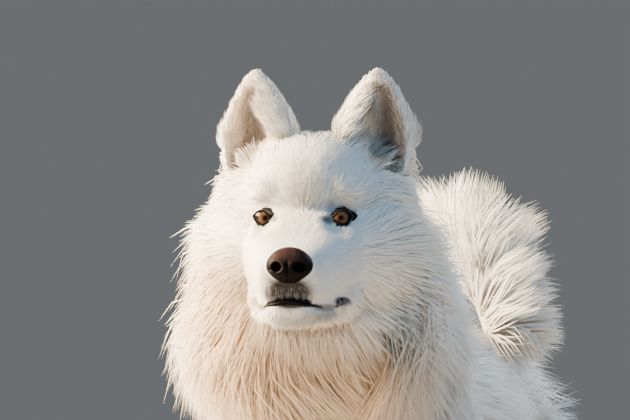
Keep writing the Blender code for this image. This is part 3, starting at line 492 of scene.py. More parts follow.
def make_eye(name, mirrored):
    """An eyeball with a raised cornea. Its UV map is flat across the iris, from the middle of the pupil."""
    bm = bmesh.new()
    bmesh.ops.create_uvsphere(bm, u_segments=64, v_segments=48, radius=EYE_RADIUS)
    bmesh.ops.rotate(bm, verts=bm.verts[:], matrix=Matrix.Rotation(math.radians(90), 3, "X"))
    flat = bm.loops.layers.uv.new("iris")
    for face in bm.faces:
        for corner in face.loops:
            place = corner.vert.co
            if place.y < 0:
                corner[flat].uv = (0.5 + place.x / EYE_RADIUS / 2, 0.5 + place.z / EYE_RADIUS / 2)
            else:
                corner[flat].uv = (0.0, 0.0)
    for vert in bm.verts:
        turn = vert.co.angle(Vector((0, -1, 0)))
        vert.co *= 1 + 0.045 * float(1 - smooth_step(0.40, 0.74, turn))
    look = Vector((0, -1, 0)).rotation_difference(GAZE).to_matrix().to_4x4()
    bm.transform(HEAD @ Matrix.Translation((EYE.x * mirrored, EYE.y, EYE.z)) @ look)
    to_head = HEAD @ eye_frame(mirrored)
    to_eye = to_head.inverted()
    for vert in bm.verts:  # drawn back where the lids and the brow cover it
        place = to_eye @ vert.co
        if place.y < 0.004:
            covered = math.hypot(place.x / EYE_SHOWN[0], place.z / EYE_SHOWN[1])
            covered = float(smooth_step(1.04, 1.5, covered))
            x, z = place.x * (1 - 0.26 * covered), place.z * (1 - 0.30 * covered)
            vert.co = to_head @ Vector((x, place.y + 0.006 * covered, z))
    return new_piece(name, bm)


def almond(turn, grown, above, corner):
    """A point on an oval round the eye, drawn out at both corners. The inner corner is the lower."""
    c, s = math.cos(turn), math.sin(turn)
    x, z = (LID_OVAL[0] + grown) * c, (LID_OVAL[1] + (above if s > 0 else grown)) * s
    inner, outer = max(0.0, -c) ** 5, max(0.0, c) ** 5
    z *= 1 - 0.45 * (inner + outer) * (corner > 0)
    return x - 1.4 * corner * inner + 0.7 * corner * outer, z - 0.7 * corner * inner


def make_lids(name, mirrored, tree):
    """Dark rims round an eye, from on the eyeball out to under the fur."""
    to_head = HEAD @ eye_frame(mirrored)
    to_eye = to_head.inverted()
    outward = to_head.to_3x3() @ Vector((0, -1, 0))

    def skin_at(x, z):
        start = to_head @ Vector((x * mirrored, -0.06, z)) + SHIFT
        hit = tree.ray_cast(start, -outward)[0]
        return (to_eye @ (hit - SHIFT)).y

    def ball_at(x, z):
        return -math.sqrt(max(1e-6, EYE_RADIUS ** 2 - x * x - z * z))

    bm = bmesh.new()
    rings = []
    # How much wider a ring is than the opening at the sides and below, how much above, how far its corners
    # are drawn out, its share of the skin's depth, its lift
    for grown, above, corner, share, lift in (
        (0.0000, 0.0000, 0.0006, 0.0, 0.0035),
        (0.0000, 0.0000, 0.0010, 0.0, -0.0007),
        (0.0004, 0.0002, 0.0018, 0.0, -0.0015),
        (0.0012, 0.0008, 0.0030, 0.20, -0.0018),
        (0.0023, 0.0016, 0.0042, 0.60, -0.0016),
        (0.0036, 0.0024, 0.0050, 1.0, -0.0010),
        (0.0048, 0.0034, 0.0052, 1.0, 0.0022),
    ):
        ring = []
        for k in range(LID_POINTS):
            x, z = almond(2 * math.pi * k / LID_POINTS, grown, above, corner)
            y = ball_at(x, z) * (1 - share) + (skin_at(x, z) if share else 0) * share
            ring.append(Vector((x * mirrored, min(y + lift, 0.004), z)))
        rings.append(ring)
    grow(bm, rings, closed=False)
    bm.transform(to_head)
    piece = new_piece(name, bm)
    thick = piece.modifiers.new("thick", "SOLIDIFY")
    thick.thickness = 0.0006
    thick.offset = -1
    return piece


def make_nose():
    """The leather of the nose: broad, with round nostrils that open to the sides and a groove below."""
    bm = bmesh.new()
    bmesh.ops.create_icosphere(bm, subdivisions=6, radius=1)
    # The pit layer marks the nostrils' hollows, which the leather paints near black as painted shade inside
    # them.
    pit = bm.verts.layers.float.new("pit")
    for vert in bm.verts:
        x, y, z = vert.co
        wide = 1 - 0.13 * float(smooth_step(-0.25, -1.0, z)) - 0.05 * float(smooth_step(0.1, 0.9, z))
        deep = 1 - 0.20 * float(smooth_step(0.0, 0.9, z)) - 0.10 * float(smooth_step(-0.3, -1.0, z))
        place = Vector((x * wide, y * deep, z))
        if y < 0.3:
            for side in (-1, 1):
                hole = math.hypot((place.x - side * 0.47) / 0.25, (place.z + 0.10) / 0.30)
                slit = math.hypot((place.x - side * 0.72) / 0.18, (place.z + 0.22) / 0.09)
                place.y += 0.50 * float(1 - smooth_step(0.45, 1.02, hole))
                vert[pit] = max(vert[pit], float(1 - smooth_step(0.65, 1.0, hole)))
                place.y += 0.16 * float(1 - smooth_step(0.3, 1.1, slit))
                place.y -= 0.035 * math.exp(-((hole - 1.25) / 0.24) ** 2)
            groove = math.exp(-(place.x / 0.05) ** 2) * float(smooth_step(0.45, -0.25, z))
            place.y += 0.12 * groove
        vert.co = Vector((NOSE.x + place.x * NOSE.rx, NOSE.y + place.y * NOSE.ry, NOSE.z + place.z * NOSE.rz))
    bm.transform(HEAD)
    return new_piece("nose_leather", bm)


def make_lips(mouth):
    """Two dark lips along the line of the mouth, parted in front and crimped at the corners."""
    bm = bmesh.new()
    last = len(mouth) - 1
    for above in (1, -1):
        rings = []
        for index, (point, outward) in enumerate(mouth):
            along = (mouth[min(index + 1, last)][0] - mouth[max(index - 1, 0)][0]).normalized()
            up = along.cross(outward).normalized()
            if up.z < 0:
                up = -up
            share = abs(2 * index / last - 1)
            corner = float(smooth_step(0.66, 0.76, share) * (1 - smooth_step(0.95, 1.0, share)))
            corner *= 1 if outward.x > 0 else 0.4
            front = float(1 - smooth_step(0.12, 0.30, share))
            thin_end = 1 - 0.7 * float(smooth_step(0.93, 1.0, share))
            full = (0.0009 + 0.0009 * corner + 0.0010 * front) * thin_end
            crimp = 0.0009 * math.sin(index * 2.2) * corner
            out = -0.0020 + 0.0026 * corner + 0.0006 * front + crimp
            centre = point + up * above * full * 0.9 + outward * out
            rings.append(circle(centre, outward, up, full, 10))
        grow(bm, rings)
    return new_piece("lips", bm)


def make_claws():
    bm = bmesh.new()
    across, up = Vector((0.8, 0, 0)), Vector((0, 0, 1))
    for mirrored in SIDES.values():
        for foot in (FRONT_FOOT, HIND_FOOT):
            for x, y in TOES:
                root = Vector((foot.x * mirrored + x, foot.y + y - 0.0184, 0.0173))
                rings = []
                for share, size in CLAW_TAPER:
                    centre = root + Vector((0, -share, -0.45 * share * abs(share))) * CLAW_LENGTH
                    rings.append(circle(centre, across, up, CLAW_RADIUS * size, 12))
                rings.append([root + Vector((0, -1, -0.47)) * CLAW_LENGTH])
                grow(bm, rings)
    return new_piece("claws", bm)


# Materials

def new_material(name, colour, roughness):
    material = bpy.data.materials.new(name)
    material.use_nodes = True
    shader = material.node_tree.nodes["Principled BSDF"]
    shader.inputs["Base Color"].default_value = (*colour, 1)
    shader.inputs["Roughness"].default_value = roughness
    return material, material.node_tree, shader


def node(tree, kind, **values):
    made = tree.nodes.new(kind)
    for key, value in values.items():
        if hasattr(made, key):
            setattr(made, key, value)
        else:
            made.inputs[key.replace("_", " ")].default_value = value
    return made


def mix_colours(tree, share, first, second, blend="MIX"):
    """The output of a mix of two colours, each a socket or a fixed colour."""
    mix = tree.nodes.new("ShaderNodeMix")
    mix.data_type = "RGBA"
    mix.blend_type = blend
    for socket, value in (("Factor", share), ("A", first), ("B", second)):
        target = next(s for s in mix.inputs if s.name == socket and s.enabled)
        if isinstance(value, bpy.types.NodeSocket):
            tree.links.new(value, target)
        elif isinstance(value, tuple):
            target.default_value = (*value, 1)
        else:
            target.default_value = value
    return next(s for s in mix.outputs if s.enabled)


def spread(tree, value, low, high, new_low=0.0, new_high=1.0):
    """Maps a value smoothly from one range to another."""
    ranged = tree.nodes.new("ShaderNodeMapRange")
    ranged.interpolation_type = "SMOOTHSTEP"
    tree.links.new(value, ranged.inputs["Value"])
    for socket, number in (("From Min", low), ("From Max", high), ("To Min", new_low), ("To Max", new_high)):
        ranged.inputs[socket].default_value = number
    return ranged.outputs["Result"]
def vector_math(tree, operation, first, second=None):
    made = node(tree, "ShaderNodeVectorMath", operation=operation)
    tree.links.new(first, made.inputs[0])
    if second is not None:
        made.inputs[1].default_value = second
    return made.outputs["Value" if operation == "LENGTH" else "Vector"]


def solid_texture(tree, kind, **values):
    """A texture that fills space, in the piece's own coordinates."""
    where = tree.nodes.new("ShaderNodeTexCoord")
    made = node(tree, kind, **values)
    tree.links.new(where.outputs["Object"], made.inputs["Vector"])
    return made


def marked(tree, markings_and_painted_light):
    """The colour of the dog's tints, painted shade and painted warm light at each place."""
    where = tree.nodes.new("ShaderNodeTexCoord")
    group = tree.nodes.new("ShaderNodeGroup")
    group.node_tree = markings_and_painted_light
    tree.links.new(where.outputs["Object"], group.inputs["Place"])
    return group.outputs["Colour"]


def add_bump(tree, shader, height, **values):
    bump = node(tree, "ShaderNodeBump", **values)
    tree.links.new(height, bump.inputs["Height"])
    tree.links.new(bump.outputs["Normal"], shader.inputs["Normal"])
WHITE = (0.90, 0.885, 0.86)
CREAM = (0.88, 0.84, 0.78)
# Biscuit tan: the real tint of the ears and forehead, and painted warm light on the lit cheek, jaw and chest
# at the dog's right.
BISCUIT_AND_WARM_LIGHT = (0.74, 0.53, 0.33)
DARK = (0.022, 0.018, 0.018)
# Painted shade: a dull brown-grey laid under the chin and on the chest where shadow falls.
SHADED = (0.40, 0.335, 0.26)
# Painted shade: grey laid on the ruff and in the tail's plume where they lie in shade.
GREY_SHADE = (0.58, 0.55, 0.52)
EAR_DARK = (0.13, 0.098, 0.080)


def spots():
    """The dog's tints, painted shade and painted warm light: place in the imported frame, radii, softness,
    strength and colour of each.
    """
    found = []

    def mark(x, y, z, radii, softness, strength, colour):
        found.append((HEAD @ Vector((x, y, z)) + SHIFT, radii, softness, strength, colour))

    for side in SIDES.values():
        mark(0.060 * side, 0.082, 0.072, (0.019, 0.030, 0.052), 0.6, 0.45, BISCUIT_AND_WARM_LIGHT)
        mark(0.0605 * side, 0.078, 0.078, (0.0105, 0.030, 0.038), 0.6, 0.82, EAR_DARK)
        mark(0.0235 * side, 0.000, -0.0020, (0.0042, 0.012, 0.0030), 0.6, 0.90, DARK)
        mark(0.041 * side, -0.024, -0.0742, (0.0100, 0.018, 0.0044), 0.5, 1.0, DARK)
        mark(0.028 * side, -0.050, -0.0795, (0.020, 0.025, 0.0030), 0.8, 0.70, DARK)
    mark(0.0228, 0.000, -0.0028, (0.0080, 0.012, 0.0046), 0.7, 1.0, DARK)
    mark(0.0250, -0.001, 0.0085, (0.0050, 0.012, 0.0070), 0.9, 0.60, DARK)
    mark(0, -0.080, -0.0675, (0.0210, 0.024, 0.0140), 0.6, 1.0, DARK)
    mark(0.002, -0.076, -0.0755, (0.0150, 0.022, 0.0050), 0.6, 1.0, DARK)
    mark(0, -0.005, 0.030, (0.014, 0.030, 0.020), 0.9, 0.15, BISCUIT_AND_WARM_LIGHT)
    # Painted warm light: biscuit tan on the lit lower cheek at the dog's right, left untinted on the shaded
    # side.
    mark(-0.085, 0.090, -0.075, (0.060, 0.120, 0.042), 0.9, 0.75, BISCUIT_AND_WARM_LIGHT)
    # Painted shadow under the chin and across the chest at the dog's left.
    mark(0.028, -0.040, -0.099, (0.044, 0.050, 0.015), 0.9, 0.90, SHADED)
    mark(0.056, 0.075, -0.180, (0.080, 0.120, 0.066), 0.9, 0.90, SHADED)
    # Painted shade: grey on the ruff at the dog's left and in the middle of the tail's plume.
    mark(0.110, 0.160, -0.150, (0.060, 0.120, 0.060), 0.9, 0.50, GREY_SHADE)
    mark(0.090, 0.560, -0.060, (0.090, 0.120, 0.085), 0.9, 0.65, GREY_SHADE)
    # Painted warm light: biscuit tan on the lit jaw and chest at the dog's right; on the chest it is partly a
    # real biscuit tint.
    mark(-0.055, 0.020, -0.080, (0.045, 0.060, 0.045), 0.9, 0.50, BISCUIT_AND_WARM_LIGHT)
    mark(-0.030, 0.050, -0.175, (0.120, 0.120, 0.080), 0.9, 1.0, BISCUIT_AND_WARM_LIGHT)
    return found


def make_markings_and_painted_light():
    """A group whose colour at a place is the dog's own tints there, with painted shade and painted warm light
    among them, the same on skin and coat.
    """
    group = bpy.data.node_groups.new("markings_and_painted_light", "ShaderNodeTree")
    group.interface.new_socket("Place", in_out="INPUT", socket_type="NodeSocketVector")
    group.interface.new_socket("Colour", in_out="OUTPUT", socket_type="NodeSocketColor")
    start = group.nodes.new("NodeGroupInput")
    end = group.nodes.new("NodeGroupOutput")
    cloud = node(group, "ShaderNodeTexNoise", Scale=9.0, Detail=3.0)
    group.links.new(start.outputs["Place"], cloud.inputs["Vector"])
    colour = mix_colours(group, spread(group, cloud.outputs["Fac"], 0.35, 0.70), WHITE, CREAM)
    for place, radii, softness, strength, tint in spots():
        offset = vector_math(group, "SUBTRACT", start.outputs["Place"], place)
        gap = vector_math(group, "LENGTH", vector_math(group, "DIVIDE", offset, radii))
        mask = spread(group, gap, 1 - softness / 2, 1 + softness / 2, strength, 0.0)
        colour = mix_colours(group, mask, colour, tint)
    group.links.new(colour, end.inputs["Colour"])
    return group


def skin_material(markings_and_painted_light):
    material, tree, shader = new_material("skin", WHITE, 0.75)
    grain = solid_texture(tree, "ShaderNodeTexNoise", Scale=700.0, Detail=2.0).outputs["Fac"]
    dark = spread(tree, grain, 0.3, 0.7, 0.0, 0.35)
    colour = mix_colours(tree, dark, marked(tree, markings_and_painted_light), (0.62, 0.52, 0.45), "MULTIPLY")
    tree.links.new(colour, shader.inputs["Base Color"])
    add_bump(tree, shader, grain, Strength=0.5, Distance=0.001)
    return material


def coat_material(markings_and_painted_light):
    """Hair: the dog's tints with their painted shade and warm light, painted darker and warmer towards the
    root as shade deep in the coat, each tuft a little lighter or warmer than the next.
    """
    material, tree, shader = new_material("coat", WHITE, 0.55)
    shader.inputs["Specular IOR Level"].default_value = 0.30
    along = node(tree, "ShaderNodeAttribute", attribute_name="along")
    tone = node(tree, "ShaderNodeAttribute", attribute_name="tone")
    # Painted shade: the hair is darker and warmer towards the root, where it lies in the coat's own shade.
    root = spread(tree, along.outputs["Fac"], 0.0, 0.6, 0.62, 0.0)
    colour = mix_colours(tree, root, marked(tree, markings_and_painted_light), (0.86, 0.78, 0.68), "MULTIPLY")
    warm = spread(tree, tone.outputs["Fac"], 0.0, 1.0, 0.0, 0.8)
    colour = mix_colours(tree, warm, colour, (0.93, 0.895, 0.85), "MULTIPLY")
    tip = spread(tree, along.outputs["Fac"], 0.3, 1.0, 0.0, 0.30)
    colour = mix_colours(tree, tip, colour, WHITE)
    tree.links.new(colour, shader.inputs["Base Color"])
    return material


def eye_material():
    """An amber iris with a darker edge and fine rays, a dark pupil, and dark brown round it, under a wet
    gloss. Radii are shares of the eyeball's width."""
    material, tree, shader = new_material("eye", (0.03, 0.018, 0.012), 0.07)
    shader.inputs["Specular IOR Level"].default_value = 0.09
    flat = node(tree, "ShaderNodeUVMap", uv_map="iris")
    centred = vector_math(tree, "SUBTRACT", flat.outputs["UV"], (0.5, 0.5, 0.0))
    radius = vector_math(tree, "LENGTH", centred)
    rays = node(tree, "ShaderNodeTexNoise", Scale=9.0, Detail=4.0)
    tree.links.new(vector_math(tree, "NORMALIZE", centred), rays.inputs["Vector"])
    rays = spread(tree, rays.outputs["Fac"], 0.3, 0.7)
    whole = mix_colours(tree, rays, (0.080, 0.036, 0.013), (0.175, 0.098, 0.046))
    for start, end, inside, outside, colour in (
        (0.08, 0.18, 0.85, 0.0, (0.045, 0.015, 0.005)),
        (0.215, 0.285, 0.0, 1.0, (0.022, 0.010, 0.006)),
        (0.282, 0.300, 0.0, 1.0, (0.012, 0.008, 0.007)),
        (0.068, 0.100, 1.0, 0.0, (0.006, 0.004, 0.004)),
    ):
        whole = mix_colours(tree, spread(tree, radius, start, end, inside, outside), whole, colour)
    tree.links.new(whole, shader.inputs["Base Color"])
    return material


def leather_material(name, colour, light, roughness, pebble, depth, gloss, painted_shade=None):
    """Bare skin, pebbled like a dog's nose. The painted shade is a colour and the heights between which it
    sets
    in: below them the leather is painted darker, as shade on its underside."""
    material, tree, shader = new_material(name, colour, roughness)
    shader.inputs["Specular IOR Level"].default_value = gloss
    cells = solid_texture(tree, "ShaderNodeTexVoronoi", Scale=pebble).outputs["Distance"]
    cloud = solid_texture(tree, "ShaderNodeTexNoise", Scale=110.0, Detail=3.0).outputs["Fac"]
    mixed = mix_colours(tree, spread(tree, cloud, 0.35, 0.75), colour, light)
    # Painted shade: everything below the lower height is darkened towards the shade's colour.
    if painted_shade:
        height = solid_texture(tree, "ShaderNodeSeparateXYZ").outputs["Z"]
        mixed = mix_colours(tree, spread(tree, height, painted_shade[1], painted_shade[2], 1.0, 0.0), mixed, painted_shade[0])
    # Painted shade: the nostrils' pits are painted near black, as the dark inside a deep hole.
    holes = node(tree, "ShaderNodeAttribute", attribute_name="pit")
    mixed = mix_colours(tree, holes.outputs["Fac"], mixed, (0.0015, 0.001, 0.001))
    pits = spread(tree, cells, 0.25, 0.75, 0.0, 0.4)
    mixed = mix_colours(tree, pits, mixed, tuple(c * 0.4 for c in colour))
    tree.links.new(mixed, shader.inputs["Base Color"])
    add_bump(tree, shader, cells, Strength=0.7, Distance=depth, invert=True)
    return material


def horn_material():
    material, tree, shader = new_material("claw", (0.10, 0.078, 0.066), 0.38)
    bands = solid_texture(tree, "ShaderNodeTexNoise", Scale=420.0, Detail=2.0).outputs["Fac"]
    bands = spread(tree, bands, 0.3, 0.7)
    colour = mix_colours(tree, bands, (0.07, 0.055, 0.047), (0.19, 0.15, 0.125))
    tree.links.new(colour, shader.inputs["Base Color"])
    return material


# The coat

def surface_of(piece):
    """Corners' places and normals, and the triangles, as arrays in the dog's own frame."""
    mesh = piece.data
    mesh.calc_loop_triangles()
    triangles = np.empty(len(mesh.loop_triangles) * 3, dtype=np.int64)
    mesh.loop_triangles.foreach_get("vertices", triangles)
    return read_rows(mesh, "co") - SHIFT_ROW, read_rows(mesh, "normal"), triangles.reshape(-1, 3)


def unit(vectors):
    return vectors / np.maximum(np.linalg.norm(vectors, axis=-1, keepdims=True), 1e-9)


def to_head(places):
    return placed(places, np.array(HEAD.inverted()))


def from_head(vectors):
    return vectors @ np.array(HEAD)[:3, :3].T


REGION_BLUR = 0.010  # how far pieces of the coat reach into each other


class Skin:
    """The skin's surface, with where each of its triangles belongs."""

    def __init__(self, piece):
        self.places, self.normals, self.triangles = surface_of(piece)
        self.tree = tree_of(piece)
        a, b, c = (self.places[self.triangles[:, k]] for k in range(3))
        self.centres = (a + b + c) / 3
        self.areas = np.linalg.norm(np.cross(b - a, c - a), axis=1) / 2
        astray = np.random.default_rng(5).normal(0, REGION_BLUR, self.centres.shape)
        self.region = regions(self.centres, self.centres + astray)

    def roots(self, chosen, density, count, chance):
        """About so many roots spread over the chosen triangles, by a relative density."""
        index = np.where(chosen)[0]
        weights = np.cumsum(self.areas[index] * density[index])
        picks = (np.arange(count) + chance.random(count)) / count * weights[-1]
        index = index[np.minimum(np.searchsorted(weights, picks), len(index) - 1)]
        corners = self.triangles[index]
        u, v = np.sort(chance.random((2, count)), axis=0)
        shares = np.stack([u, v - u, 1 - v], axis=1)[:, :, None]
        places = (self.places[corners] * shares).sum(1)
        return places, unit((self.normals[corners] * shares).sum(1))

    def nearest(self, places):
        """The nearest places on the skin, and the normals there."""
        found = np.empty((2, len(places), 3))
        search = self.tree.find_nearest
        for k, place in enumerate((places + SHIFT_ROW).tolist()):
            found[0, k], found[1, k] = search(place)[:2]
        return found[0] - SHIFT_ROW, found[1]


TAIL_STEPS = 120
TAIL_POINTS = np.array([along_line(TAIL_LINE, k / TAIL_STEPS) for k in range(TAIL_STEPS + 1)])
TAIL_AHEAD = unit(np.gradient(TAIL_POINTS, axis=0))
TAIL_CURL = np.array((0.026, 0, 0.553))  # the middle of its curl
PLUME_LENGTH = 0.113
# Share of a plume hair's length, how far it follows the tail there, and how far it falls
PLUME_PARTS = ((0.34, 0.55, 0.0), (0.36, 0.35, 0.05), (0.30, 0.20, 0.18))
# The plane that parts the head from the ruff
HEAD_CUT = np.array((0, -0.354, 0.642))
HEAD_CUT_NORMAL = unit(np.array((0, -0.80, 0.42)))


def tail_share(places):
    """How far along the tail each place is, and how far from its line."""
    gaps = np.linalg.norm(places[:, None, :] - TAIL_POINTS[None, ::3], axis=2)
    return gaps.argmin(1) * 3 / TAIL_STEPS, gaps.min(1)


def on_ear(spot):
    """Which of a head's places are on an ear."""
    mirrored = np.sign(spot[:, 0])
    flipped = spot * np.stack([mirrored, np.ones_like(mirrored), np.ones_like(mirrored)], axis=1)
    axis = np.array(EAR_TIP - EAR_BASE)
    share = ((flipped - np.array(EAR_BASE)) @ axis) / (axis @ axis)
    centre = np.array(EAR_BASE) + share[:, None] * axis
    across = np.linalg.norm((flipped - centre)[:, :2], axis=1)
    return (share > 0.27) & (across < 0.045) & (share < 1.1)


def regions(exact, places):
    """A word for each place: ear, head, tail, leg, foot, ruff or flank. All but the ears and the tail go by
    the blurred places."""
    spot = to_head(exact)
    words = np.full(len(places), "flank", dtype="U8")
    words[places[:, 1] < -0.19] = "ruff"
    side = np.abs(places[:, 0])
    front = (places[:, 1] < -0.07) & (places[:, 2] < 0.30)
    hind = (places[:, 1] > 0.08) & (places[:, 2] < 0.36) & (side > 0.025)
    words[front | hind] = "leg"
    words[places[:, 2] < 0.058] = "foot"
    ahead = (places - HEAD_CUT) @ HEAD_CUT_NORMAL > 0.0
    words[ahead & (places[:, 2] > 0.5)] = "head"
    words[on_ear(spot) & (exact[:, 2] > 0.5)] = "ear"
    share, gap = tail_share(exact)
    words[(share > 0.10) & (gap < 0.032) & (exact[:, 1] > 0.02)] = "tail"
    return words


def beside_skull(spot):
    """Where the head's hair hangs down behind the eyes, beside and below the ears."""
    return smooth_step(0.042, 0.062, np.abs(spot[:, 0])) * smooth_step(0.03, 0.06, spot[:, 1])


def lie_of_head(places):
    """Away from the nose, and down where the hair is long."""
    spot = to_head(places)
    away = unit(spot - np.array((0, -0.105, -0.030)))
    low = smooth_step(0.0, -0.06, spot[:, 2]) * smooth_step(-0.03, 0.06, spot[:, 1])
    parted = np.exp(-(spot[:, 0] / 0.016) ** 2) * smooth_step(0.02, 0.04, spot[:, 2])
    away[:, 0] += 0.5 * np.tanh(spot[:, 0] / 0.003) * parted
    away[:, 2] -= 0.55 * low
    beside = beside_skull(spot) * smooth_step(-0.02, 0.02, spot[:, 2])
    away[:, 0] *= 1 - 0.45 * beside
    away += beside[:, None] * np.array((0, 0.45, -1.0))
    away[:, 1] += 0.25 * smooth_step(0.02, 0.06, spot[:, 2])
    return from_head(away)


def lie_of_body(places):
    away = unit(places - np.array(HEAD_PLACE)) * (0.62, 1, 1) + np.array((0, 0.10, -0.75))
    away[:, 0] *= 1 - 0.8 * smooth_step(0.54, 0.44, places[:, 2])
    back = np.zeros_like(places)
    back[:, 1] = 1.0
    back[:, 2] = -0.40 - 1.2 * smooth_step(0.20, 0.31, places[:, 1])
    share = smooth_step(-0.27, -0.08, places[:, 1])[:, None]
    body = away * (1 - share) + back * share
    down = np.array((0, 0.18, -1.0))
    leg = (1 - smooth_step(0.26, 0.42, places[:, 2]))[:, None] * (np.abs(places[:, 0]) > 0.02)[:, None]
    return body * (1 - leg) + down * leg


LIE_OF_FEET = (0, -0.9, -0.45)

def drift(places, scale, seed):
    """A smooth value from about -1 to 1 that wanders over space."""
    waves = np.random.default_rng(seed)
    total = np.zeros(len(places))
    for _ in range(6):
        direction = unit(waves.normal(size=3)) * waves.uniform(0.7, 1.5) * 2 * math.pi / scale
        total += np.sin(places @ direction + waves.uniform(0, 2 * math.pi))
    return total / 3


ROOT_DEPTH = (0.0006, 0.0015)  # how deep in the skin short and long hair starts
# Shares of its length at which a tuft has its rings and its tip
ONE_STEP, TWO_STEPS = (0, 1.0), (0, 0.5, 1.0)


def combed(lie, normals, turn):
    """The lie along the skin, turned by an angle."""
    heading = unit(lie - normals * (lie * normals).sum(1, keepdims=True))
    return unit(heading * np.cos(turn) + np.cross(normals, heading) * np.sin(turn))


def straight_paths(roots, normals, lie, length, lift, shares, chance, ruffle):
    """Short hair: straight along the skin, rising to a lift that is a share of its length."""
    heading = combed(lie, normals, chance.normal(0, ruffle, len(lie))[:, None])
    rise = lift * chance.uniform(0.7, 1.25, len(roots))
    paths = []
    for share in shares:
        high = rise * length * math.sin(min(1.0, share * 1.15) * math.pi / 2) - ROOT_DEPTH[0] * (share == 0)
        paths.append(roots + heading * (length * share)[:, None] + normals * high[:, None])
    ups = np.repeat(normals[:, None], len(shares), axis=1)
    return np.stack(paths, axis=1), ups


# Heights at the shoulders, and how much of its own height the long hair keeps there
SETTLED = ((0.40, 0.78), (0.48, 0.46), (0.50, 0.50), (0.52, 0.61), (0.545, 0.78), (0.57, 0.94))


def settled(places):
    """How much of its height the long hair keeps: less at the shoulders than at the cheeks."""
    side = smooth_step(0.03, 0.07, np.abs(places[:, 0])) * smooth_step(-0.08, -0.16, places[:, 1])
    share = np.interp(places[:, 2], *zip(*SETTLED))
    return 1 - side * (1 - share)


def flowing_paths(skin, roots, normals, lie_at, length, height, chance, ruffle, swirl):
    """Long hair: it follows the skin along the lie of the coat and rises to its height over it."""
    paths, ups = [roots - normals * ROOT_DEPTH[1]], [normals]
    place, normal = roots, normals
    turn = (chance.normal(0, ruffle, len(roots)) + swirl * drift(roots, 0.10, 3))[:, None]
    lift = height * chance.uniform(0.70, 1.10, len(roots)) * (1 + 0.16 * drift(roots, 0.055, 5))
    for before, share in zip(TWO_STEPS, TWO_STEPS[1:]):
        heading = combed(lie_at(place), normal, turn)
        place, normal = skin.nearest(place + heading * (length * (share - before))[:, None])
        rise = np.sin(np.minimum(1.0, share * 1.1) * math.pi / 2) ** 0.85
        paths.append(place + normal * (lift * rise * settled(place))[:, None])
        ups.append(normal)
    for j in range(2, len(paths)):
        before, step = unit(paths[j - 1] - paths[j - 2]), paths[j] - paths[j - 1]
        reach = np.linalg.norm(step, axis=1, keepdims=True)
        kinked = (before * unit(step)).sum(1, keepdims=True) < 0.35
        paths[j] = paths[j - 1] + np.where(kinked, unit(step), unit(unit(step) + 0.55 * before)) * reach
    return np.stack(paths, axis=1), np.stack(ups, axis=1)


def gather(paths, chance, every, strength):
    """Draws hairs together towards their tips, so that neighbours form locks."""
    count = len(paths)
    guides = chance.permutation(count)[: max(1, count // every)]
    tree = KDTree(len(guides))
    for number, k in enumerate(guides):
        tree.insert(paths[k, 0].tolist(), number)
    tree.balance()
    nearest = np.array([guides[tree.find(place)[1]] for place in paths[:, 0].tolist()])
    guide = paths[nearest]
    steps = paths.shape[1]
    for j in range(1, steps):
        pull = strength * (j / (steps - 1)) ** 1.3
        offset = (paths[:, 0] - guide[:, 0]) * 0.2
        paths[:, j] += pull * (guide[:, j] + offset - paths[:, j])
    return 0.65 * chance.random(count)[nearest] + 0.35 * chance.random(count)


def blade_pattern(rings):
    """One blade of three sides, with so many rings and a tip: its faces' corners, and their sizes, places on
    a patch, and whether they are flat (those below and at the root)."""
    tip = rings * 3
    corners, sizes, places, flat = [], [], [], []
    for j in range(rings):
        low, high = j / rings, (j + 1) / rings
        for k in range(3):
            a, b = j * 3 + k, j * 3 + (k + 1) % 3
            left, right = k / 3, (k + 1) / 3
            if j < rings - 1:
                corners += [a, b, b + 3, a + 3]
                places += [(left, low), (right, low), (right, high), (left, high)]
                sizes.append(4)
            else:
                corners += [a, b, tip]
                places += [(left, low), (right, low), ((left + right) / 2, high)]
                sizes.append(3)
            flat.append(k == 2)
    corners += [0, 2, 1]
    places += [(0.0, 0.0), (1.0, 0.0), (0.5, 0.1)]
    return np.array(corners), np.array(sizes + [3]), np.array(places), np.array(flat + [True])


TAPERS = {1: (1.0,), 2: (0.85, 0.80), 3: (0.75, 1.0, 0.65)}
CREST = (0.072, 0.010)  # hair that would stand higher over the eyes is bent in within the second
COAT_HALF_WIDTH = (0.145, 0.033)  # hair that would stand out farther is bent in within the second
SECTION = ((-1.0, -0.06), (0.0, 0.34), (1.0, -0.06))  # a blade's corners, across it and over it
LOWEST = (0.0022, 0.0006)  # the least height over the floor of a tuft's middle line and of its corners
SOFTNESS = 0.5  # how much of the skin's own normal a blade's upper side is shaded with


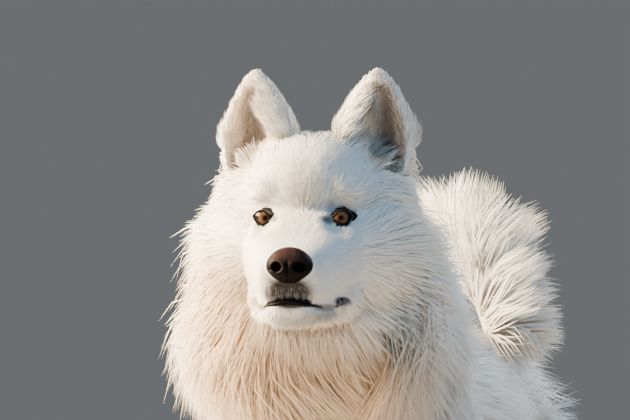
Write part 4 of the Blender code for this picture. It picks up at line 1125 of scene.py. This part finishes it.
def blades(name, paths, ups, width, tone, patch):
    """One mesh of closed, tapered blades of three sides along the paths, whose last points are the tips."""
    count, steps = paths.shape[:2]
    rings = steps - 1
    paths = paths.copy()
    for j in range(2, steps):
        before, step = paths[:, j - 1] - paths[:, j - 2], paths[:, j] - paths[:, j - 1]
        kinked = (unit(before) * unit(step)).sum(1) < 0.40
        paths[kinked, 1:] = (paths[:, :1] + (paths[:, 1:] - paths[:, :1]) * 0.25)[kinked]
    beyond = np.maximum(np.abs(paths[:, :, 0]) - COAT_HALF_WIDTH[0], 0)
    held = COAT_HALF_WIDTH[1] * np.tanh(beyond / COAT_HALF_WIDTH[1])
    paths[:, :, 0] -= np.sign(paths[:, :, 0]) * (beyond - held)
    paths[:, :, 2] = np.maximum(paths[:, :, 2], LOWEST[0])
    ahead = unit(np.gradient(paths, axis=1))
    side = unit(np.cross(ahead, ups))
    top = np.cross(side, ahead)
    per = rings * 3 + 1
    verts = np.empty((count, per, 3))
    normals = np.empty((count, per, 3))
    above = unit(unit(top) * (1 - SOFTNESS) + ups * SOFTNESS)
    for j, taper in enumerate(TAPERS[rings]):
        half = (width * taper / 2)[:, None]
        for k, (across, high) in enumerate(SECTION):
            verts[:, j * 3 + k] = paths[:, j] + (side[:, j] * across + top[:, j] * high) * half
            normals[:, j * 3 + k] = above[:, j] + side[:, j] * across * 0.25
    verts[:, -1] = paths[:, -1]
    normals[:, -1] = above[:, -1]
    verts[:, :, 2] = np.maximum(verts[:, :, 2], LOWEST[1])
    corners, sizes, places, flat = blade_pattern(rings)
    mesh = bpy.data.meshes.new(name)
    mesh.vertices.add(count * per)
    mesh.vertices.foreach_set("co", (verts + SHIFT_ROW).ravel())
    loops = (corners[None] + (np.arange(count) * per)[:, None]).ravel()
    mesh.loops.add(len(loops))
    mesh.loops.foreach_set("vertex_index", loops.astype(np.int32))
    faces = np.tile(sizes, count)
    mesh.polygons.add(len(faces))
    starts = np.concatenate([[0], np.cumsum(faces)[:-1]])
    mesh.polygons.foreach_set("loop_start", starts.astype(np.int32))
    mesh.update(calc_edges=True)
    mesh.shade_smooth()
    unwrap = mesh.uv_layers.new(name="OFBake")
    corner_uv = np.clip(patch[:, None, :], 0, 1) * 0.99 + places[None] * 0.003 + 0.003
    unwrap.data.foreach_set("uv", corner_uv.astype(np.float32).ravel())
    along = np.concatenate([np.repeat(np.arange(rings) / rings, 3), [1.0]])
    for word, values in (("along", np.tile(along, count)), ("tone", np.repeat(tone, per))):
        layer = mesh.attributes.new(word, "FLOAT", "POINT")
        layer.data.foreach_set("value", values.astype(np.float32))
    layer = mesh.attributes.new("custom_normal", "FLOAT_VECTOR", "POINT")
    layer.data.foreach_set("vector", unit(normals).astype(np.float32).ravel())
    mesh.attributes.new("sharp_face", "BOOLEAN", "FACE").data.foreach_set("value", np.tile(flat, count))
    return link(name, mesh)


def eye_gap(spot):
    """How far each place on the head is from the middle of the nearer eye, across the lids' plane."""
    gaps = []
    for mirrored in SIDES.values():
        at = placed(spot, np.array(eye_frame(mirrored).inverted()))
        gaps.append(np.where(at[:, 1] < 0.012, from_eye(at), 9.0))
    return np.minimum(*gaps)


def head_length(spot):
    """Length of the hair at places on the head."""
    reach = np.linalg.norm(spot - MUZZLE_END, axis=1)
    side = np.abs(spot[:, 0])
    length = 0.0046 + 0.0080 * smooth_step(0.040, 0.115, reach)
    low = smooth_step(0.036, -0.012, spot[:, 2])
    outer = side + 0.35 * np.maximum(-spot[:, 2] - 0.05, 0)
    length += 0.064 * (smooth_step(0.095, 0.165, reach) * low * smooth_step(0.020, 0.055, outer))
    length += 0.018 * smooth_step(0.010, 0.075, spot[:, 1]) * smooth_step(0.0, 0.04, spot[:, 2])
    length += 0.013 * smooth_step(0.030, 0.060, spot[:, 1]) * smooth_step(0.038, 0.056, spot[:, 2])
    chin = smooth_step(-0.077, -0.092, spot[:, 2]) * smooth_step(0.0, -0.05, spot[:, 1])
    length += 0.007 * chin
    throat = smooth_step(-0.02, 0.04, spot[:, 1]) * smooth_step(-0.05, -0.08, spot[:, 2])
    length += 0.034 * throat
    return length * (0.5 + 0.5 * smooth_step(1.2, 3.0, eye_gap(spot)))


def bare(spot, mouth_head):
    """Where no hair grows: the eyes, the nose and the lips."""
    clear = eye_gap(spot) < 1
    nose = (spot - np.array(NOSE[:3])) / (np.array(NOSE[3:]) * (1.0, 1.2, 0.98))
    clear |= (np.linalg.norm(nose, axis=1) < 1) & (spot[:, 1] < -0.06)
    near = np.where(np.linalg.norm(spot - np.array((0, -0.04, -0.07)), axis=1) < 0.08)[0]
    gaps = np.linalg.norm(spot[near][:, None] - mouth_head[None], axis=2)
    share = np.linspace(-1, 1, len(mouth_head))
    front = np.interp(
        share, (-0.35, -0.2, -0.1, 0.1, 0.2, 0.35, 0.68, 0.75, 0.88, 1),
        (0.0008, 0.0040, 0.0050, 0.0050, 0.0040, 0.0012, 0.0012, 0.0044, 0.0044, 0.0018),
    )
    clear[near[(gaps < front[None]).any(1)]] = True
    return clear


def round_patch(places, centre, low, high):
    """An unwrap round an upright axis: the turn about it, and the height."""
    offset = places - centre
    turn = np.arctan2(offset[:, 0], -offset[:, 1]) / (2 * math.pi) + 0.5
    return np.stack([turn, np.clip((places[:, 2] - low) / (high - low), 0, 1)], axis=1)


def body_patch(places):
    """An unwrap of the trunk: the turn about its long axis, and how far back."""
    middle = np.interp(places[:, 1], (-0.42, -0.20, 0.0, 0.3), (0.66, 0.50, 0.45, 0.45))
    turn = np.arctan2(places[:, 0], places[:, 2] - middle) / (2 * math.pi) + 0.5
    return np.stack([turn, np.clip((places[:, 1] + 0.45) / 0.80, 0, 1)], axis=1)


def leg_patch(places):
    """An unwrap of the legs, each in its own quarter."""
    front = places[:, 1] < 0.02
    left = places[:, 0] > 0
    hind_axis = np.interp(places[:, 2], (0.03, 0.11, 0.20, 0.33), (0.27, 0.30, 0.27, 0.20))
    axis_y = np.where(front, -0.17, hind_axis)
    turn = np.arctan2(np.abs(places[:, 0]) - 0.085, axis_y - places[:, 1]) / (2 * math.pi) + 0.5
    high = np.clip(places[:, 2] / 0.40, 0, 1)
    return np.stack([(turn + left) / 2, (high + front) / 2], axis=1) * 0.99


def coat_depth(places):
    """How far the coat stands over the skin of the trunk and legs."""
    side, back, height = np.abs(places[:, 0]), places[:, 1], places[:, 2]
    high = np.where(back < 0.02, smooth_step(0.24, 0.38, height), smooth_step(0.26, 0.42, height))
    high = np.maximum(high, 1 - smooth_step(0.03, 0.06, side) * smooth_step(0.36, 0.30, height))
    behind = smooth_step(-0.26, -0.14, back)
    ruff = 0.052 * (1 - behind) + 0.043 * behind
    collar = smooth_step(-0.22, -0.30, back) * smooth_step(0.035, 0.065, side)
    ruff = ruff + 0.020 * collar * smooth_step(0.53, 0.60, height)
    haunch = smooth_step(0.04, 0.14, back) * smooth_step(0.40, 0.46, height)
    ruff = ruff + 0.016 * haunch * smooth_step(0.03, 0.07, side)
    breech = smooth_step(0.20, 0.27, back) * smooth_step(0.19, 0.26, places[:, 2])
    feather = smooth_step(-0.165, -0.125, back) * smooth_step(0.14, 0.20, places[:, 2]) * (back < 0)
    low = 0.012 + 0.028 * breech + 0.020 * feather
    return low + (ruff - low) * high


# How many tufts each piece of the coat has
TUFTS = {
    "face": 46000, "crown": 14500, "cheeks": 18500, "ears": 12000,
    "ruff": 18000, "flank": 13000, "legs": 12000, "tail": 7800,
}


def locks(name, paths, ups, width, patch, chance, every, strength):
    """A piece of the coat, with its tufts gathered into locks."""
    return blades(name, paths, ups, width, gather(paths, chance, every, strength), patch)


def loosen(size, height, chance, share, longer, higher):
    """Lets a share of the hairs stand out from the rest."""
    loose = chance.random(len(size)) < share
    size[loose] *= longer
    height[loose] *= higher


def face_coat(skin, hairy, spot, length, blend, mouth_head, tufts, chance):
    """Short spikes, sparse below the nose and hanging at the lips."""
    chosen = hairy & (length < 0.0165) & (spot[:, 1] < 0.060)
    density = (1 - 0.9 * blend) / np.maximum(length, 0.004) ** 1.2
    under_nose = (np.abs(spot[:, 0]) < 0.019) & (spot[:, 1] < -0.050)
    under_nose &= (spot[:, 2] < -0.056) & (spot[:, 2] > -0.080)
    density = np.where(under_nose, density * 0.11, density)
    roots, normals = skin.roots(chosen, density, tufts["face"], chance)
    keep = ~bare(to_head(roots), mouth_head)
    roots, normals = roots[keep], normals[keep]
    at = to_head(roots)
    size = head_length(at) * chance.uniform(0.75, 1.25, len(at))
    hanging = smooth_step(-0.052, -0.066, at[:, 2]) * smooth_step(0.0, -0.02, at[:, 1])
    lie = lie_of_head(roots) + hanging[:, None] * np.array((0, 0, -1.3))
    size *= 1 + 0.35 * hanging
    lift = 0.26 + 0.14 * smooth_step(0.05, 0.10, np.linalg.norm(at - MUZZLE_END, axis=1))
    paths, ups = straight_paths(roots, normals, lie, size, lift, ONE_STEP, chance, 0.17)
    width = np.interp(size, (0.004, 0.014), (0.0009, 0.0012))
    patch = round_patch(at, (0, 0.03, 0), -0.11, 0.09)
    return locks("coat_face", paths, ups, width, patch, chance, 10, 0.48)


def head_coat(skin, mouth, tufts, chance):
    """The face, then the crown and the cheeks, with no line between them."""
    mouth_head = to_head(np.array([point for point, _ in mouth]))
    spot = to_head(skin.centres)
    length = head_length(spot)
    blend = smooth_step(0.0080, 0.0165, length) * (spot[:, 1] < 0.060) + (spot[:, 1] >= 0.060)
    hairy = (skin.region == "head") & ~bare(spot, mouth_head)
    pieces = [face_coat(skin, hairy, spot, length, blend, mouth_head, tufts, chance)]
    fluff = hairy & ((length > 0.0085) | (spot[:, 1] > 0.055))
    density = np.maximum(blend, 0.04) / np.maximum(length, 0.01) ** 0.7
    upper = spot[:, 2] + np.random.default_rng(9).normal(0, 0.008, len(spot)) > 0.012
    for word, chosen in (("crown", fluff & upper), ("cheeks", fluff & ~upper)):
        roots, normals = skin.roots(chosen, density, tufts[word], chance)
        at = to_head(roots)
        size = head_length(at)
        height = size * np.interp(size, (0.012, 0.035, 0.08), (0.30, 0.52, 0.52))
        height *= 1 + 0.43 * smooth_step(0.036, -0.008, at[:, 2])
        level = smooth_step(0.010, 0.030, at[:, 2]) * smooth_step(0.085, 0.065, at[:, 2])
        height *= 1 + 0.25 * beside_skull(at) * level
        size = size * chance.uniform(0.8, 1.15, len(at))
        loosen(size, height, chance, 0.06, 1.15, 1.25)
        paths, ups = flowing_paths(skin, roots, normals, lie_of_head, size, height, chance, 0.12, 0.12)
        beyond = np.maximum(paths[:, :, 2] - HEAD_PLACE.z - CREST[0], 0)
        paths[:, :, 2] -= beyond - CREST[1] * np.tanh(beyond / CREST[1])
        width = np.interp(size, (0.012, 0.07), (0.0010, 0.0013))
        patch = round_patch(at, (0, 0.05, 0), -0.13, 0.10)
        pieces.append(locks(f"coat_{word}", paths, ups, width, patch, chance, 14, 0.30))
    return pieces


def ear_coat(skin, tufts, chance):
    """Short hair up the ears, and longer hair across their cups."""
    even = np.ones(len(skin.centres))
    roots, normals = skin.roots(skin.region == "ear", even, tufts["ears"], chance)
    at = to_head(roots)
    mirrored, ones = np.sign(at[:, 0]), np.ones(len(at))
    turn = EAR_OUTWARD * mirrored
    outward = np.stack([np.sin(turn), -np.cos(turn), 0 * ones], axis=1)
    cup = (to_head(normals + np.array(HEAD_PLACE)) * outward).sum(1) > 0.35
    medial = smooth_step(0.056, 0.034, np.abs(at[:, 0]))
    high, low = smooth_step(0.080, 0.125, at[:, 2]), smooth_step(0.085, 0.060, at[:, 2])
    lie = np.stack([mirrored * 0.10, 0.12 * ones, ones], axis=1)
    across = np.stack([mirrored * 0.80, -0.35 * ones, 0.70 * ones], axis=1)
    lie = from_head(np.where((cup & (medial > 0.25))[:, None], across, lie))
    size = np.where(cup, 0.0095 + 0.017 * medial * (1 - 0.6 * high), 0.0115 - 0.0035 * high)
    size = size * (1 - 0.35 * low * medial) * chance.uniform(0.75, 1.2, len(at))
    size *= 1 - 0.45 * smooth_step(0.116, 0.132, at[:, 2])
    lift = np.where(cup, 0.34 + 0.16 * medial, 0.52 - 0.2 * low * medial)
    paths, ups = straight_paths(roots, normals, lie, size, lift, TWO_STEPS, chance, 0.16)
    turned = np.clip(at[:, 0] * 4 + mirrored * 0.02, -0.499, 0.499) + 0.5
    patch = np.stack([(turned + cup) / 2, (at[:, 2] - 0.03) / 0.12], axis=1)
    return locks("coat_ears", paths, ups, 0.0010 * ones, patch, chance, 12, 0.45)


def trunk_coat(skin, tufts, chance):
    """Ruff and flanks, each in two sides."""
    even = np.ones(len(skin.centres))
    pieces = []
    for word, reach, swirl in (("ruff", 1.40, 0.45), ("flank", 1.7, 0.30)):
        for side, mirrored in SIDES.items():
            chosen = (skin.region == word) & (skin.centres[:, 0] * mirrored > 0)
            roots, normals = skin.roots(chosen, even, tufts[word], chance)
            tall = coat_depth(roots)
            size = (0.014 + tall * reach) * chance.uniform(0.75, 1.15, len(roots))
            loosen(size, tall, chance, 0.05, 1.12, 1.2)
            paths, ups = flowing_paths(skin, roots, normals, lie_of_body, size, tall, chance, 0.13, swirl)
            width = np.interp(size, (0.03, 0.10), (0.0013, 0.0018))
            name, patch = f"coat_{word}_{side}", body_patch(roots)
            pieces.append(locks(name, paths, ups, width, patch, chance, 18, 0.38))
    return pieces


def leg_coat(skin, tufts, chance):
    """Legs and feet, shortest at the toes."""
    chosen = (skin.region == "leg") | (skin.region == "foot")
    density = 1 / np.maximum(coat_depth(skin.centres), 0.010) ** 0.6
    roots, normals = skin.roots(chosen, density, tufts["legs"], chance)
    low = roots[:, 2] < 0.045
    tall = np.where(low, 0.0045, coat_depth(roots))
    size = np.where(low, 0.009, 0.010 + tall * 1.3) * chance.uniform(0.8, 1.2, len(roots))
    lie = np.where(low[:, None], LIE_OF_FEET, lie_of_body(roots))
    lift = np.clip(tall / size, 0.25, 0.75)
    paths, ups = straight_paths(roots, normals, lie, size, lift, TWO_STEPS, chance, 0.16)
    width = np.interp(size, (0.009, 0.05), (0.0014, 0.0020))
    return locks("coat_legs", paths, ups, width, leg_patch(roots), chance, 12, 0.35)


def tail_coat(skin, tufts, chance):
    """The plume, fanned out from the middle of the tail's curl."""
    even = np.ones(len(skin.centres))
    roots, normals = skin.roots(skin.region == "tail", even, tufts["tail"], chance)
    share, _ = tail_share(roots)
    step = np.round(share * TAIL_STEPS).astype(int)
    ahead = TAIL_AHEAD[step]
    out = unit(normals - ahead * (normals * ahead).sum(1, keepdims=True))
    bend = unit((TAIL_POINTS[step] - TAIL_CURL) * (1, 0, 1))
    bend *= 1.1 * smooth_step(0.22, 0.42, share)[:, None]
    fan = unit(out * (1, 0.45, 1) + bend)
    size = PLUME_LENGTH * chance.uniform(0.55, 1.15, len(roots))
    size = size * (0.6 + 0.4 * np.sin(math.pi * np.minimum(1, share + 0.2)))
    size *= 1 - 0.32 * np.exp(-((share - 0.42) / 0.18) ** 2)
    steps = [roots - out * 0.001]
    turn = chance.normal(0, 0.08, (len(roots), 3))
    for part, follow, fall in PLUME_PARTS:
        heading = fan + out * (1, 0.6, 1) * follow * 0.5 + ahead * follow - np.array((0, 0, fall)) + turn
        steps.append(steps[-1] + unit(heading) * (part * size)[:, None])
    paths = np.stack(steps, axis=1)
    ups = np.repeat(unit(out + np.sign(out[:, 1:2]) * np.array((0, 0.9, 0)))[:, None], 4, axis=1)
    width = np.full(len(roots), 0.0019)
    patch = np.stack([np.arctan2(out[:, 0], out[:, 2]) / (2 * math.pi) + 0.5, share], axis=1)
    return locks("coat_tail", paths, ups, width, patch, chance, 34, 0.52)


def dress(skin, mouth, quick):
    """The coat, in pieces by region."""
    chance = np.random.default_rng(7)
    tufts = {word: count // (4 if quick else 1) for word, count in TUFTS.items()}
    pieces = head_coat(skin, mouth, tufts, chance)
    pieces.append(ear_coat(skin, tufts, chance))
    pieces += trunk_coat(skin, tufts, chance)
    pieces.append(leg_coat(skin, tufts, chance))
    pieces.append(tail_coat(skin, tufts, chance))
    return pieces


# The stage

FLOOR_RADIUS = 3.4


def make_stage():
    bm = bmesh.new()
    bmesh.ops.create_circle(bm, cap_ends=True, segments=96, radius=FLOOR_RADIUS)
    floor = link("floor", bpy.data.meshes.new("floor"))
    bm.to_mesh(floor.data)
    bm.free()
    material, tree, shader = new_material("floor", (0.42, 0.40, 0.38), 0.9)
    cloud = solid_texture(tree, "ShaderNodeTexNoise", Scale=2.5, Detail=4.0).outputs["Fac"]
    mixed = mix_colours(tree, cloud, (0.40, 0.38, 0.36), (0.44, 0.42, 0.40))
    tree.links.new(mixed, shader.inputs["Base Color"])
    floor.data.materials.append(material)
    world = bpy.data.worlds.new("studio")
    world.use_nodes = True
    tree = world.node_tree
    sky = tree.nodes["Background"]
    sky.inputs["Color"].default_value = (0.40, 0.56, 0.76, 1)
    sky.inputs["Strength"].default_value = 0.33
    seen = tree.nodes.new("ShaderNodeBackground")  # the plain backdrop
    seen.inputs["Color"].default_value = (0.150, 0.158, 0.166, 1)
    ray = tree.nodes.new("ShaderNodeLightPath")
    either = tree.nodes.new("ShaderNodeMixShader")
    for output, put in ((ray.outputs["Is Camera Ray"], 0), (sky.outputs[0], 1), (seen.outputs[0], 2)):
        tree.links.new(output, either.inputs[put])
    tree.links.new(either.outputs[0], tree.nodes["World Output"].inputs["Surface"])
    bpy.context.scene.world = world


def make_light(name, size, energy, colour, place, aim):
    light = bpy.data.lights.new(name, "AREA")
    light.size = size
    light.energy = energy
    light.color = colour
    lamp = link(name, light)
    lamp.location = place
    lamp.rotation_euler = (Vector(aim) - Vector(place)).to_track_quat("-Z", "Y").to_euler()


CAMERA_TURN = math.radians(11)
CAMERA_DISTANCE = 3.15
CAMERA_HEIGHT = 0.562
CAMERA_LENS, CAMERA_SENSOR = 205, 36
PICTURE = (630, 420)
EYES_AT = (303.5, 217.5)  # where the middle of the eyes is in the picture


def make_camera():
    """The photograph's view, from a little to the dog's left and below its eyes."""
    focal = CAMERA_LENS / CAMERA_SENSOR * PICTURE[0]
    camera = bpy.data.cameras.new("camera")
    camera.lens, camera.sensor_width = CAMERA_LENS, CAMERA_SENSOR
    across, ahead = math.sin(CAMERA_TURN) * CAMERA_DISTANCE, math.cos(CAMERA_TURN) * CAMERA_DISTANCE
    place = EYES_MIDDLE + Vector((across, -ahead, 0))
    place.z = CAMERA_HEIGHT
    aim = (EYES_MIDDLE - place).normalized()
    yaw = math.atan2(-aim.x, aim.y) - math.atan((PICTURE[0] / 2 - EYES_AT[0]) / focal)
    pitch = math.asin(aim.z) - math.atan((PICTURE[1] / 2 - EYES_AT[1]) / focal)
    holder = link("camera", camera)
    holder.location = place
    holder.rotation_euler = (math.pi / 2 + pitch, 0, yaw)
    bpy.context.scene.camera = holder


make_camera()
make_stage()
make_light("key", 1.6, 1650, (1.0, 0.80, 0.54), (-3.4, -0.70, 2.25), (0, -0.35, 0.55))
make_light("sky", 3.5, 75, (0.34, 0.66, 1.0), (2.0, -1.8, 3.0), (0, -0.2, 0.5))
make_light("back", 2.0, 120, (0.95, 0.94, 0.92), (1.4, 3.0, 2.4), (0, 0, 0.5))

skin_piece = make_skin()
carve_sockets(skin_piece)
bare_tree = tree_of(skin_piece)
mouth = mouth_line(bare_tree)
open_skin(skin_piece, mouth)
skin_tree = Skin(skin_piece)
coat_pieces = dress(skin_tree, mouth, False)

markings_and_painted_light = make_markings_and_painted_light()
skin_piece.data.materials.append(skin_material(markings_and_painted_light))
coat = coat_material(markings_and_painted_light)
for piece in coat_pieces:
    piece.data.materials.append(coat)

eye_look = eye_material()
rim_look = leather_material("rims", (0.004, 0.0032, 0.003), (0.008, 0.006, 0.0055), 0.5, 900, 0.0002, 0.06)
eyes, lids = [], []
for side, mirrored in SIDES.items():
    eyes.append(make_eye(f"eyeball_{side}", mirrored))
    eyes[-1].data.materials.append(eye_look)
    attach(eyes[-1], "root")
    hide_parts(f"eye_{side}")
    lids.append(make_lids(f"lids_{side}", mirrored, bare_tree))
    lids[-1].data.materials.append(rim_look)
    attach(lids[-1], "root")

nose = make_nose()
nose_height = (HEAD @ Vector(NOSE[:3]) + SHIFT).z
# The nose is painted a lighter mottled brown on top and near black below: painted light on its top and
# painted shade underneath.
nose.data.materials.append(leather_material(
    "nose", (0.030, 0.015, 0.014), (0.080, 0.039, 0.036), 0.48, 950, 0.0004, 0.05,
    ((0.0012, 0.001, 0.001), nose_height - 0.001, nose_height + 0.011),
))
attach(nose, "root")
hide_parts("nose")

lips = make_lips(mouth)
lips.data.materials.append(rim_look)
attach(lips, "root")

claws = make_claws()
claws.data.materials.append(horn_material())
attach(claws, "root")
legs = [f"{pair}_{side}" for pair in ("front", "hind") for side in SIDES]
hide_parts(*[f"claw_{leg}_{k}" for leg in legs for k in (1, 2, 3, 4)])

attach(skin_piece, "root")
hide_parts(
    "head", "ear_left", "ear_right", "neck", "torso", "tail_root", "tail_arch", "tail_tip",
    *[f"leg_{leg}" for leg in legs], *[f"foot_{leg}" for leg in legs],
)
for piece in coat_pieces:
    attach(piece, "root")
